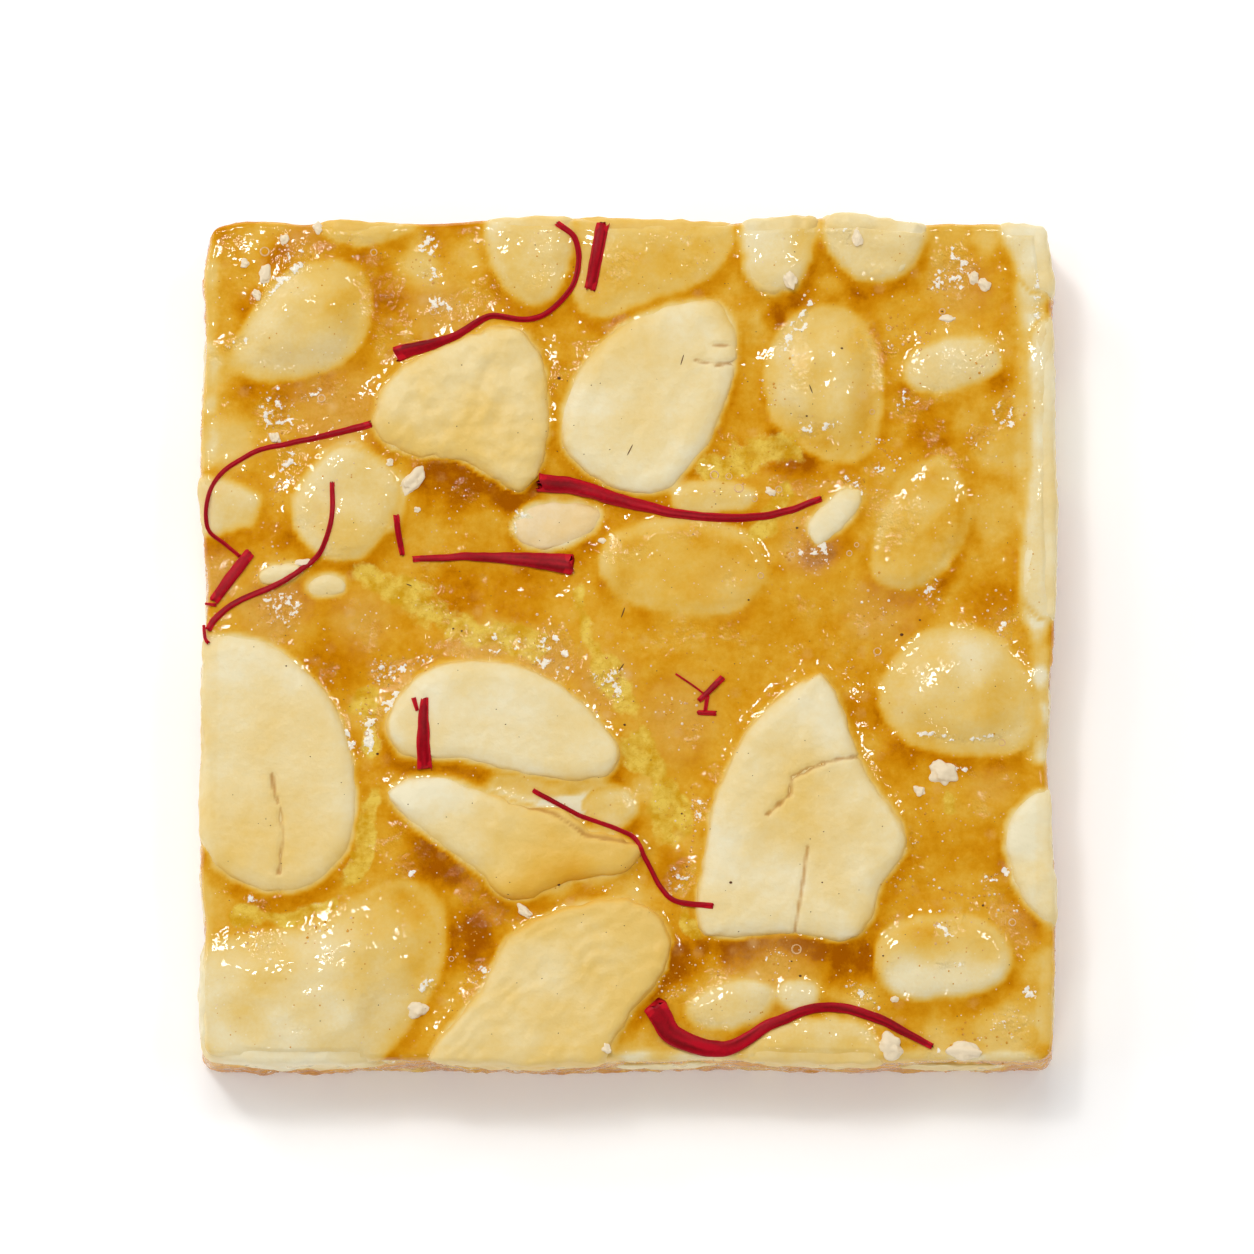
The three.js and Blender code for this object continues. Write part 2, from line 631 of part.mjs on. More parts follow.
function threadSolid({ path, widths }, meshes) {
  const curve = new THREE.CatmullRomCurve3(
    path.map(([x, y]) => new THREE.Vector3(x, y, 0)),
    false,
    "centripetal",
  );
  const steps = Math.max(3, Math.round(curve.getLength() / THREAD_STEP));
  const widthAt = (share) => {
    const at = share * (widths.length - 1);
    const from = Math.min(Math.floor(at), widths.length - 2);
    return THREE.MathUtils.lerp(widths[from], widths[from + 1], at - from);
  };
  const sideAt = (share) => {
    const along = curve.getTangentAt(share);
    return new THREE.Vector3(-along.y, along.x, 0).normalize();
  };
  const felt = curve.getSpacedPoints(steps * PROBES).map(({ x, y }, i) => {
    const share = i / (steps * PROBES);
    const side = sideAt(share);
    const reach = widthAt(share) / 2 + PROBE_EDGE;
    const heights = [-reach, 0, reach].map((off) =>
      surfaceUnder(meshes, x + off * side.x, y + off * side.y),
    );
    return Math.max(...heights);
  });
  const rings = curve.getSpacedPoints(steps).map(({ x, y }, i) => {
    const side = sideAt(i / steps);
    const width = widthAt(i / steps);
    // A thread is stiff: it bridges the dips that are shorter than two steps.
    const near = felt.slice(Math.max(0, (i - 1) * PROBES), (i + 1) * PROBES + 1);
    const middle = Math.max(...near) + GAP + THREAD_THICKNESS / 2 + 0.09 * width;
    return threadSection(width).map(([off, up]) => [x + off * side.x, y + off * side.y, middle + up]);
  });
  return loft(rings, threadSection(widthAt(0)), threadSection(widthAt(1)));
}

// ---- Assembly ---------------------------------------------------------------------------

const knife = knifeBlock();
const pieces = [];
let slab = slabBlock();
for (const [name, piece] of Object.entries(CASHEWS)) {
  const solid = largestBody(cashewSolid(piece, 0).intersect(knife));
  pieces.push(meshFrom(name, solid, piece.material));
  slab = slab.subtract(cashewSolid(piece, GAP));
}
for (const [name, piece] of Object.entries(LOWER_CASHEWS)) {
  pieces.push(meshFrom(name, largestBody(lowerSolid(piece, 0).intersect(knife)), bareMaterial));
  slab = slab.subtract(lowerSolid(piece, GAP));
}
pieces.unshift(meshFrom("brittle", largestBody(slab), syrupMaterial));

const chikki = new THREE.Group();
chikki.add(...pieces);
for (const [name, thread] of Object.entries(SAFFRON)) {
  chikki.add(meshFrom(name, threadSolid(thread, [...chikki.children]), saffronMaterial));
}

export default chikki;
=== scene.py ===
import json
import math
import random

import bmesh
import bpy
import numpy as np
from mathutils import Matrix, Vector, noise
from mathutils.bvhtree import BVHTree


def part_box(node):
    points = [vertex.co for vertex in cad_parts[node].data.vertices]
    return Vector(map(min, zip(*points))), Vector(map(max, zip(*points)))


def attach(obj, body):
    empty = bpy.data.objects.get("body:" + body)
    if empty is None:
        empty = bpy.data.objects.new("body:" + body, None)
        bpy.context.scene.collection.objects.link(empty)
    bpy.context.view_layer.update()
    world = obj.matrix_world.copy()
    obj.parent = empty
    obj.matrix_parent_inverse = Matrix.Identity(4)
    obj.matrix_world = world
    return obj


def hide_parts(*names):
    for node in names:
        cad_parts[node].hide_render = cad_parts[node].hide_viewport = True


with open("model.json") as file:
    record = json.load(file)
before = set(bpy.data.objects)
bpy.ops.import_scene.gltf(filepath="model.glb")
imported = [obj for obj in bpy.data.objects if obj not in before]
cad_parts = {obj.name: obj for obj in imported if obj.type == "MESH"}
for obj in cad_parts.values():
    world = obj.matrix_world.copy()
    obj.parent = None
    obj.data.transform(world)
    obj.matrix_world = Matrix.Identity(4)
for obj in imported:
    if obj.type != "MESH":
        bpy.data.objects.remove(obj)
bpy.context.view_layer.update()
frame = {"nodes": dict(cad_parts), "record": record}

# ---- Cashew kernels and pieces -----------------------------------------------------------
# Roasted cashews, whole, split in half or broken, cream coloured and waxy, soaked with syrup
# where it ran over them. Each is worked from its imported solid: the corners are rounded off,
# and the wrinkles, cracks and broken faces are carved into an even, fine mesh.

MM = 0.001
GRAIN = {"whole": 0.3, "half": 0.24, "broken": 0.24, "back": 0.26, "right": 0.26,
         "corner": 0.26, "sunk": 0.34, "chip": 0.2, "lower": 0.36}
SHARP_CUT = math.radians(62)

# How deep the surface of each sort is uneven, in millimetres: over 5 mm, 1.4 mm and 0.5 mm,
# and how deep the flanks are ragged.
UNEVEN = {"whole": (0.24, 0.1, 0.02), "half": (0.12, 0.03, 0.012), "broken": (0.16, 0.08, 0.025),
          "back": (0.3, 0.2, 0.05), "right": (0.2, 0.12, 0.04), "corner": (0.2, 0.12, 0.04),
          "sunk": (0.16, 0.07, 0.02), "chip": (0.1, 0.1, 0.04), "lower": (0.1, 0.08, 0.03)}
UNEVEN_OF = {"cashew_broken_back": (0.22, 0.22, 0.08), "cashew_half_middle": (0.1, 0.03, 0.012)}
RAGGED_EDGE = 0.16
# Furrows along the grain of a kernel: direction in degrees, spacing and depth in millimetres.
FURROWS = {
    "cashew_broken_front": (36, 1.5, 0.026), "cashew_whole_front_left": (12, 2.1, 0.06),
    "cashew_broken_back": (70, 2.1, 0.025), "cashew_whole_back_right": (95, 1.9, 0.04),
    "cashew_half_back": (62, 2.8, 0.02), "cashew_back_edge_left": (80, 1.9, 0.04),
    "cashew_back_edge_right": (60, 2.1, 0.04), "cashew_whole_right": (20, 2.9, 0.03),
}

# Cracks across the bare pieces: width, depth and path, in millimetres.
CRACKS = {
    "cashew_half_left": [
        (0.3, 0.3, [(-29.2, -11.5), (-28.9, -13), (-28.4, -14.5), (-28.25, -16.5), (-28.5, -19.5)]),
    ],
    "cashew_broken_right": [
        (0.3, 0.25, [(20, -9.8), (17, -10.3), (15, -11), (13.5, -11.8), (13.3, -13.2),
                     (11.5, -14.8)]),
        (0.3, 0.12, [(14.8, -17.5), (14.3, -21), (13.7, -24.8)]),
    ],
    "cashew_half_back": [
        (0.28, 0.25, [(5.6, 22.9), (7.4, 22.5), (9.4, 22.8)]),
        (0.28, 0.2, [(7.2, 24.2), (9.2, 24)]),
    ],
    "cashew_broken_middle": [
        (0.4, 0.15, [(-9.6, -13.6), (-6, -14.6), (-3.4, -16.4), (0.8, -17)]),
    ],
}

# How much syrup lies over or in each piece, in millimetres at its middle, and how that grows
# to the right and to the back over 10 mm.
SOAKED = {
    "whole_back_left": (0.38, 0.4, 0.1), "whole_back_right": (0.65, 0.4, -0.4),
    "whole_front_left": (0.2, 0.15, 0.15), "whole_right": (0.25, -0.1, -0.1),
    "half_left": (0.22, 0, -0.1), "half_middle": (0.12, 0.05, 0), "half_back": (0.18, 0, 0.05),
    "broken_back": (0.38, 0, -0.1), "broken_middle": (0.5, 0.5, -0.35),
    "broken_front": (0.42, 0.2, 0.05), "broken_right": (0.14, -0.05, 0.05),
    "broken_front_right": (0.45, 0.1, 0.75), "back_edge_left": (0.2, 0, -0.3),
    "back_edge_right": (0.25, 0, -0.4), "right_edge_front": (0.08, 0, 0),
    "right_edge_back": (0.15, 0, 0), "corner_back": (0.15, 0, -0.1),
    "sunk_back_corner": (0.8, 0, 0), "sunk_back_left": (0.4, 0.3, -0.2),
    "sunk_back_middle": (0.8, 0.1, -0.2), "sunk_right_back": (0.2, 0, 0),
    "sunk_right_middle": (1.0, 0.3, 0), "sunk_middle": (1.15, 0.3, -0.5),
    "sunk_left_kite": (0.28, 0.3, -0.2), "sunk_left_edge": (0.3, 0.1, 0),
    "sunk_front_left": (0.2, 0, 0), "sunk_front_middle": (0.15, 0, 0),
    "sunk_front_edge": (0.4, 0, 0), "chip_back": (0.5, 0, 0), "chip_tan": (0.5, 0, 0),
}
# Patches with more syrup over them: x, y and radius in millimetres, then its thickness.
SOAKED_SPOTS = [
    (15.6, -16, 4.5, 0.35), (9.6, 27.2, 2, 0.7), (15, 32.4, 1.8, 0.5), (-8.6, -22.2, 2.2, 1),
    (-4.5, -20.6, 2, 0.9), (-30, -16, 4, 0.15), (-12, -7.4, 3, 0.08), (-1.4, 24.6, 3, 0.15),
    (-12, 17.4, 2.6, 0.2), (-31, -30, 3, 0.2), (20, -24, 1.5, 0.4), (4, -31.6, 2, 0.3),
    (-21, 29.6, 3, 0.9), (-19.4, 25, 2, 0.5), (22, 16.4, 3, 0.9), (13, 15.6, 2.4, 0.5),
    (20.4, 26, 1.6, 0.6), (-18.6, -20.4, 3.6, 1.2), (-15.6, -26.6, 2.6, 0.9),
    (-30, -26.6, 2.4, 0.25), (25, -22.4, 3.4, 0.7), (22.6, -28.8, 1.8, -0.7),
    (26, -28.9, 2, -0.7), (29.4, -28.6, 1.8, -0.7), (30.6, -5.6, 2.6, 0.4),
    (24.6, -8.4, 2, 0.5), (26.6, 20.6, 1.6, 0.3), (-22, 8, 1.8, 0.5), (0, 1.2, 3, 0.4),
]


def noise_field(points, size, seed=0):
    """Smooth noise from -1 to 1 at each point, with features of the given size in metres."""
    offset = Vector((seed * 3.17, seed * 1.31, seed * 2.73))
    return np.array([noise.noise(Vector(p) / size + offset) for p in points])


def from_path(points, path):
    """The distance in millimetres of each point, seen from above, from a path."""
    flat = points[:, :2] / MM
    nearest = np.full(len(flat), 1e9)
    for start, end in zip(path, path[1:]):
        start, end = np.array(start), np.array(end)
        along = end - start
        share = np.clip(((flat - start) @ along) / (along @ along), 0, 1)
        gap = np.linalg.norm(flat - start - share[:, None] * along, axis=1)
        nearest = np.minimum(nearest, gap)
    return nearest


def smooth_step(low, high, value):
    share = np.clip((value - low) / (high - low), 0, 1)
    return share * share * (3 - 2 * share)


def points_of(mesh):
    flat = np.empty(len(mesh.vertices) * 3)
    mesh.vertices.foreach_get("co", flat)
    return flat.reshape(-1, 3)


def normals_of(mesh):
    flat = np.empty(len(mesh.vertices) * 3)
    mesh.vertex_normals.foreach_get("vector", flat)
    return flat.reshape(-1, 3)


def set_points(mesh, points):
    mesh.vertices.foreach_set("co", points.ravel())
    mesh.update()


def set_value(mesh, name, values):
    mesh.attributes.new(name, "FLOAT", "POINT").data.foreach_set("value", values)


def smooth_shaded(mesh):
    mesh.polygons.foreach_set("use_smooth", np.ones(len(mesh.polygons), dtype=bool))


def worked_through(mesh, *steps):
    """The mesh after modifiers, each given as its type and settings."""
    holder = bpy.data.objects.new("holder", mesh)
    bpy.context.scene.collection.objects.link(holder)
    for kind, settings in steps:
        modifier = holder.modifiers.new(kind, kind)
        for key, value in settings.items():
            setattr(modifier, key, value)
    shaped = holder.evaluated_get(bpy.context.evaluated_depsgraph_get())
    made = bpy.data.meshes.new_from_object(shaped)
    bpy.data.objects.remove(holder)
    return made


def evened(mesh, values, times):
    """The values at a mesh's points, each averaged with its neighbours' a number of times."""
    ends = np.empty(len(mesh.edges) * 2, dtype=int)
    mesh.edges.foreach_get("vertices", ends)
    first, second = ends.reshape(-1, 2).T
    here, there = np.concatenate([first, second]), np.concatenate([second, first])
    shares = np.bincount(here, minlength=len(values)) + 1
    for _ in range(times):
        sums = [np.bincount(here, column[there], len(values)) for column in values.T]
        values = (values + np.stack(sums, axis=1)) / shares[:, None]
    return values


# The share of what rounding took that is put back, the width in millimetres added to it, and
# the number of times both are evened out.
FILLED_OUT = 0.95
SHOULDER = 0.22
EVENINGS = 8


def rounded_solid(node, grain):
    """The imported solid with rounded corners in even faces, filled out to its first outline."""
    bm = bmesh.new()
    bm.from_mesh(frame["nodes"][node].data)
    bmesh.ops.remove_doubles(bm, verts=bm.verts, dist=0.002 * MM)
    bmesh.ops.dissolve_limit(bm, angle_limit=math.radians(3), verts=bm.verts, edges=bm.edges)
    crease = bm.edges.layers.float.new("crease_edge")
    for edge in bm.edges:
        if edge.is_manifold and edge.calc_face_angle() > SHARP_CUT:
            edge[crease] = 0.9
    mesh = bpy.data.meshes.new(node)
    bm.to_mesh(mesh)
    outline = BVHTree.FromBMesh(bm)
    bm.free()
    fine = {"levels": 2, "render_levels": 2}
    even = {"mode": "VOXEL", "voxel_size": grain * MM}
    mesh = worked_through(mesh, ("SUBSURF", fine), ("REMESH", even))
    points, normals = points_of(mesh), normals_of(mesh)
    lost = np.array([outline.find_nearest(point)[0] for point in map(Vector, points)]) - points
    wider = normals * (1, 1, 0) * SHOULDER * MM
    set_points(mesh, points + evened(mesh, FILLED_OUT * lost + wider, EVENINGS))
    return mesh


# The thickness of syrup that hides most of a kernel's cream, and the height of the slab.
SOAK_DEPTH = 1.6
SYRUP_LEVEL = 10.0
# A kernel's face beyond these distances from the middle, in millimetres, is a cut side.
CUT_X = 33.6
CUT_Y = 33.8


def syrup_level(x, y):
    """The height of the set syrup in millimetres, which has low swells as the solid does."""
    broad = 0.2 * np.sin(x / 6.3 + 0.8) * np.cos(y / 7.1 - 0.4)
    slanting = 0.14 * np.sin((x - 1.4 * y) / 5.9 + 1.1)
    return SYRUP_LEVEL + broad + slanting


def soaked(node, x, y):
    """How much syrup in millimetres lies over or in a piece at places on it."""
    middle, rightward, backward = SOAKED.get(node.replace("cashew_", ""), (0.15, 0, 0))
    low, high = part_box(node)
    centre = (low + high) / 2 / MM
    depth = middle + rightward * (x - centre.x) / 10 + backward * (y - centre.y) / 10
    for sx, sy, radius, more in SOAKED_SPOTS:
        depth = depth + more * np.exp(-((x - sx) ** 2 + (y - sy) ** 2) / radius ** 2)
    return np.maximum(depth, 0.02)


def carved_kernel(node):
    sort = node.split("_")[1]
    mesh = rounded_solid(node, GRAIN[sort])
    points, normals = points_of(mesh), normals_of(mesh)
    seed = sum(map(ord, node)) % 97
    broad, middle, fine = UNEVEN_OF.get(node, UNEVEN[sort])
    raised = (broad * noise_field(points, 5 * MM, seed)
              + middle * noise_field(points, 1.4 * MM, seed + 1)
              + fine * noise_field(points, 0.5 * MM, seed + 2))
    if node in FURROWS:
        turn, spacing, depth = FURROWS[node]
        across = points @ (-math.sin(math.radians(turn)), math.cos(math.radians(turn)), 0) / MM
        across += 1.6 * noise_field(points, 3 * MM, seed + 5)
        furrow = np.sin(2 * math.pi * across / spacing)
        raised += depth * furrow * (1 + 2 * noise_field(points, 2.2 * MM, seed + 7))
    flank = 1 - smooth_step(0.4, 0.9, np.abs(normals[:, 2]))
    raised += RAGGED_EDGE * flank * noise_field(points, 1.1 * MM, seed + 6)
    crack = np.zeros(len(points))
    for width, depth, path in CRACKS.get(node, ()):
        wander = 0.18 * noise_field(points, 0.9 * MM, seed + 3)
        inside = 1 - smooth_step(0, width, from_path(points, path) + wander)
        crack = np.maximum(crack, inside)
        raised -= depth * inside
    points += normals * raised[:, None] * MM
    set_points(mesh, points)
    x, y, z = (points / MM).T
    depth = soaked(node, x, y) + 0.1 * noise_field(points, 3 * MM, seed + 4)
    depth += 0.16 * noise_field(points, 8 * MM, seed + 8)
    # Steep flanks get more amber, partly syrup that clung to them and partly painted shade; parts
    # below the syrup's level get more as well.
    rim = 1 - smooth_step(0.4, 0.9, normals[:, 2])
    above = z - syrup_level(x, y)
    upright = (np.abs(x) > CUT_X) | (np.abs(y) > CUT_Y)
    cut = smooth_step(0.45, 0.85, np.maximum(np.abs(normals[:, 0]), np.abs(normals[:, 1])))
    sunk = 1 - smooth_step(-1.6, -0.8, above)
    flank_soak_and_shade = 0.5 * rim + 0.7 * (1 - smooth_step(-0.5, 0.2, above))
    depth += np.where(upright, 0.05 + 0.65 * (1 - cut) * sunk, flank_soak_and_shade)
    set_value(mesh, "amber", 1 - np.exp(-np.maximum(depth, 0) / SOAK_DEPTH))
    set_value(mesh, "crack", crack)
    smooth_shaded(mesh)
    return mesh


KERNELS = sorted(name for name in frame["nodes"] if name.startswith("cashew_"))
kernel_meshes = {name: carved_kernel(name) for name in KERNELS}


def linear(red, green, blue):
    """A colour given as screen values of 0 to 255, as the light that it reflects."""
    scaled = [value / 255 for value in (red, green, blue)]
    return tuple(v / 12.92 if v <= 0.04045 else ((v + 0.055) / 1.055) ** 2.4 for v in scaled)


def new_finish(name):
    finish = bpy.data.materials.new(name)
    finish.use_nodes = True
    return finish, finish.node_tree, finish.node_tree.nodes["Principled BSDF"]


def add_node(tree, kind, inputs=None, **settings):
    """A node of the tree with its settings, and with its inputs set or linked."""
    node = tree.nodes.new(kind)
    for key, value in settings.items():
        setattr(node, key, value)
    for key, value in (inputs or {}).items():
        if isinstance(value, bpy.types.NodeSocket):
            tree.links.new(value, node.inputs[key])
        else:
            node.inputs[key].default_value = value
    return node


def add_noise(tree, size, detail=2.0, roughness=0.5, stretch=(1, 1, 1)):
    """Noise on Object coordinates with features of a size in metres."""
    place = add_node(tree, "ShaderNodeTexCoord").outputs["Object"]
    turned = add_node(tree, "ShaderNodeMapping", {"Vector": place, "Scale": stretch})
    return add_node(tree, "ShaderNodeTexNoise",
                    {"Vector": turned.outputs[0], "Scale": 1 / size, "Detail": detail,
                     "Roughness": roughness}).outputs["Fac"]


def add_range(tree, value, low, high, to_low=0.0, to_high=1.0):
    return add_node(tree, "ShaderNodeMapRange",
                    {"Value": value, "From Min": low, "From Max": high, "To Min": to_low,
                     "To Max": to_high}).outputs[0]


def add_math(tree, operation, first, second):
    return add_node(tree, "ShaderNodeMath", {0: first, 1: second}, operation=operation).outputs[0]


def add_mix(tree, factor, first, second, blend="MIX"):
    mix = add_node(tree, "ShaderNodeMix", data_type="RGBA", blend_type=blend)
    for index, value in ((0, factor), (6, first), (7, second)):
        if isinstance(value, bpy.types.NodeSocket):
            tree.links.new(value, mix.inputs[index])
        else:
            mix.inputs[index].default_value = (*value, 1) if index else value
    return mix.outputs[2]


def add_attribute(tree, name):
    return add_node(tree, "ShaderNodeAttribute", attribute_name=name).outputs["Fac"]


# The colour of syrup over a cream kernel, from none of it to a deep pool.
AMBER_STEPS = [
    (0.0, (241, 229, 192)), (0.1, (237, 214, 156)), (0.24, (233, 197, 112)),
    (0.4, (230, 182, 76)), (0.56, (223, 163, 42)), (0.68, (216, 148, 20)),
    (0.82, (204, 128, 3)), (1.0, (168, 90, 1)),
]


def add_amber(tree, amount):
    """The colour for an amount of amber from 0 to 1.25."""
    share = add_math(tree, "MULTIPLY", amount, 0.8)
    ramp = add_node(tree, "ShaderNodeValToRGB", {"Fac": share})
    steps = ramp.color_ramp.elements
    while len(steps) < len(AMBER_STEPS):
        steps.new(0.5)
    for step, (place, colour) in zip(steps, AMBER_STEPS):
        step.position = place
        step.color = (*linear(*colour), 1)
    return ramp.outputs["Color"]


def add_bump(tree, height, depth, strength, under=None):
    inputs = {"Height": height, "Strength": strength, "Distance": depth * MM}
    if under is not None:
        inputs["Normal"] = under
    return add_node(tree, "ShaderNodeBump", inputs).outputs[0]


def kernel_finish(name, tone=(1, 1, 1)):
    finish, tree, skin = new_finish(name)
    cloud = add_range(tree, add_noise(tree, 4 * MM, 3), 0.35, 0.68, -0.05, 0.06)
    fibre = add_range(tree, add_noise(tree, 0.7 * MM, 4, 0.65), 0.3, 0.72, -0.02, 0.035)
    uneven = add_math(tree, "ADD", cloud, fibre)
    amount = add_math(tree, "ADD", add_attribute(tree, "amber"), uneven)
    colour = add_amber(tree, amount)
    crack = add_range(tree, add_attribute(tree, "crack"), 0.2, 0.9, 0, 0.7)
    colour = add_mix(tree, crack, colour, linear(186, 128, 48))
    colour = add_mix(tree, 1.0, colour, tone, "MULTIPLY")
    tree.links.new(colour, skin.inputs["Base Color"])
    low = add_bump(tree, add_noise(tree, 0.8 * MM, 3, 0.55), 0.18, 0.5)
    fine = add_bump(tree, add_noise(tree, 0.16 * MM, 3, 0.6), 0.04, 0.3, low)
    tree.links.new(fine, skin.inputs["Normal"])
    skin.inputs["Roughness"].default_value = 0.42
    skin.inputs["Specular IOR Level"].default_value = 0.4
    return finish


kernel_skin = kernel_finish("cashew")
pinkish_skin = kernel_finish("pale cashew", (1, 0.93, 0.95))


def add_piece(name, mesh, finish, slot, *nodes):
    """A finished piece of the sweet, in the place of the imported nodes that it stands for."""
    mesh.materials.clear()
    mesh.materials.append(finish)
    made = bpy.data.objects.new(name, mesh)
    bpy.context.scene.collection.objects.link(made)
    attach(made, "root")
    if nodes:
        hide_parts(*nodes)
    return made


slots = {part["node"]: part["material_slot"] for part in frame["record"]["subparts"]}
for node, mesh in kernel_meshes.items():
    finish = pinkish_skin if node == "cashew_chip_pale" else kernel_skin
    add_piece(node.replace("cashew", "kernel"), mesh, finish, slots[node], node)

# ---- The slab of syrup -------------------------------------------------------------------
# Sugar boiled to an amber glass, full of fine bubbles, poured over the cashews and rolled.
# It is one closed skin: a fine grid for the top, rows of faces down the cut sides and a
# coarser grid underneath, laid over the kernels as a film or drawn down round them.

TOP_CELLS = 224
SIDE_ROWS = 30
CORNER_RADIUS = 1.1
RIM_RADIUS = 0.6

slab = bmesh.new()
bmesh.ops.create_grid(slab, x_segments=TOP_CELLS, y_segments=TOP_CELLS, size=1)
bmesh.ops.translate(slab, verts=slab.verts, vec=(0, 0, 1))
rim = [edge for edge in slab.edges if edge.is_boundary]
for row in range(SIDE_ROWS - 1):
    drawn = bmesh.ops.extrude_edge_only(slab, edges=rim)["geom"]
    rim = [part for part in drawn if isinstance(part, bmesh.types.BMEdge) and part.is_boundary]
    lowered = {vert for edge in rim for vert in edge.verts}
    bmesh.ops.translate(slab, verts=list(lowered), vec=(0, 0, -2 / SIDE_ROWS))
base = bmesh.ops.create_grid(slab, x_segments=TOP_CELLS // 2, y_segments=TOP_CELLS // 2, size=1)
bmesh.ops.translate(slab, verts=base["verts"], vec=(0, 0, -1))
bmesh.ops.bridge_loops(slab, edges=[edge for edge in slab.edges if edge.is_boundary])
bmesh.ops.recalc_face_normals(slab, faces=slab.faces)
syrup_mesh = bpy.data.meshes.new("syrup")
slab.to_mesh(syrup_mesh)
slab.free()


def tree_of(meshes):
    """One search tree over several meshes, and the mesh that each of its faces belongs to."""
    points, faces, owners = [], [], []
    for index, mesh in enumerate(meshes):
        start = len(points)
        points.extend(points_of(mesh).tolist())
        for face in mesh.polygons:
            faces.append([start + vert for vert in face.vertices])
            owners.append(index)
    return BVHTree.FromPolygons(points, faces), np.array(owners)


packed_tree, _ = tree_of([frame["nodes"][name].data for name in ["brittle", *KERNELS]])
kernel_tree, kernel_owner = tree_of(kernel_meshes.values())


SIDE_STEPS = np.linspace(-34, 34, 137)


def side_places(axis, sign, height):
    """How far out a cut side stands along its length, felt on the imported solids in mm."""
    found = []
    for step in SIDE_STEPS:
        inward = Vector((0, 0, 0))
        inward[axis] = -sign
        outermost = 0
        for raised in (-0.6, 0, 0.6):
            start = Vector((0, 0, (height + raised) * MM))
            start[axis] = 0.05 * sign
            start[1 - axis] = step * MM
            hit = packed_tree.ray_cast(start, inward)[0]
            outermost = max(outermost, abs(hit[axis]) / MM)
        found.append(outermost)
    smoothed = [np.median(found[max(0, i - 3): i + 4]) for i in range(len(found))]
    return np.convolve(np.pad(smoothed, 2, mode="edge"), np.ones(5) / 5, mode="valid")


LOW, MIDDLE, HIGH = 1.6, 5.0, 8.8
SIDES = {(axis, sign): [side_places(axis, sign, height) for height in (LOW, MIDDLE, HIGH)]
         for axis in (0, 1) for sign in (-1, 1)}


def side_at(axis, sign, along, height):
    """The place of a cut side in mm at a distance along it and a height."""
    low, middle, high = [np.interp(along, SIDE_STEPS, row) for row in SIDES[axis, sign]]
    lower = low + (middle - low) * np.clip((height - LOW) / (MIDDLE - LOW), 0, 1)
    return sign * (lower + (high - middle) * np.clip((height - MIDDLE) / (HIGH - MIDDLE), 0, 1))


def plan_place(u, v, height):
    """A point of the slab's plan in mm from its share of the way across and along."""
    x, y = 35 * u, 35 * v
    left, right = side_at(0, -1, y, height), side_at(0, 1, y, height)
    front, back = side_at(1, -1, x, height), side_at(1, 1, x, height)
    px = left + (right - left) * (u + 1) / 2
    py = front + (back - front) * (v + 1) / 2
    # The corners of the square are drawn in to an arc.
    edge_x, edge_y = np.where(u > 0, right, left), np.where(v > 0, back, front)
    a = np.clip(1 - np.abs(edge_x - px) / CORNER_RADIUS, 0, 1)
    b = np.clip(1 - np.abs(edge_y - py) / CORNER_RADIUS, 0, 1)
    px -= np.sign(u) * CORNER_RADIUS * a * (1 - np.sqrt(1 - b * b / 2))
    py -= np.sign(v) * CORNER_RADIUS * b * (1 - np.sqrt(1 - a * a / 2))
    return px, py


shares = points_of(syrup_mesh)
u, v, w = shares.T
on_top, on_base = w > 0.999, w < -0.999
on_side = ~on_top & ~on_base
lift = (w + 1) / 2
height = np.where(on_top, SYRUP_LEVEL, lift * (SYRUP_LEVEL - RIM_RADIUS))
x, y = plan_place(u, v, height)
level = syrup_level(x, y)
rim_gap = np.minimum((1 - np.abs(u)), (1 - np.abs(v))) * 35
rounded = np.clip(1 - rim_gap / RIM_RADIUS, 0, 1)
top_height = level - RIM_RADIUS * (1 - np.sqrt(1 - rounded * rounded))
z = np.where(on_top, top_height, lift * (level - RIM_RADIUS))
z[on_base] = 0
tuck = 0.3 * np.clip(1 - z / 0.5, 0, 1) ** 2
outward = np.stack([np.where(np.abs(u) > 0.999, np.sign(u), 0),
                    np.where(np.abs(v) > 0.999, np.sign(v), 0)], axis=1)
skin = np.stack([x, y, z], axis=1)
skin[:, :2] -= outward * tuck[:, None]
skin[on_base, :2] *= 0.995

# Films of syrup lie over the sunk pieces and the crowns of the whole kernels; the bare pieces
# stand out of it. Each value is in millimetres of syrup over the piece.
FILM = {"whole": 0.22, "half": -0.24, "broken": -0.22, "back": 0.14, "right": -0.2,
        "corner": 0.12, "sunk": 0.26, "chip": -0.12, "lower": -0.12}
FILM_OF = {"cashew_chip_back": 0.25, "cashew_chip_tan": 0.1, "cashew_chip_left_inner": -0.1,
           "cashew_broken_front_right": 0.2, "cashew_right_edge_back": 0.1}
film_of_kernel = np.array([FILM_OF.get(name, FILM[name.split("_")[1]]) for name in KERNELS])


def felt_from(start, direction):
    """The first kernel met from a place in mm: the distance in mm, or none, and its number."""
    hit, _, face, distance = kernel_tree.ray_cast(Vector(start) * MM, direction)
    if hit is None:
        return None, -1
    return distance / MM, kernel_owner[face]


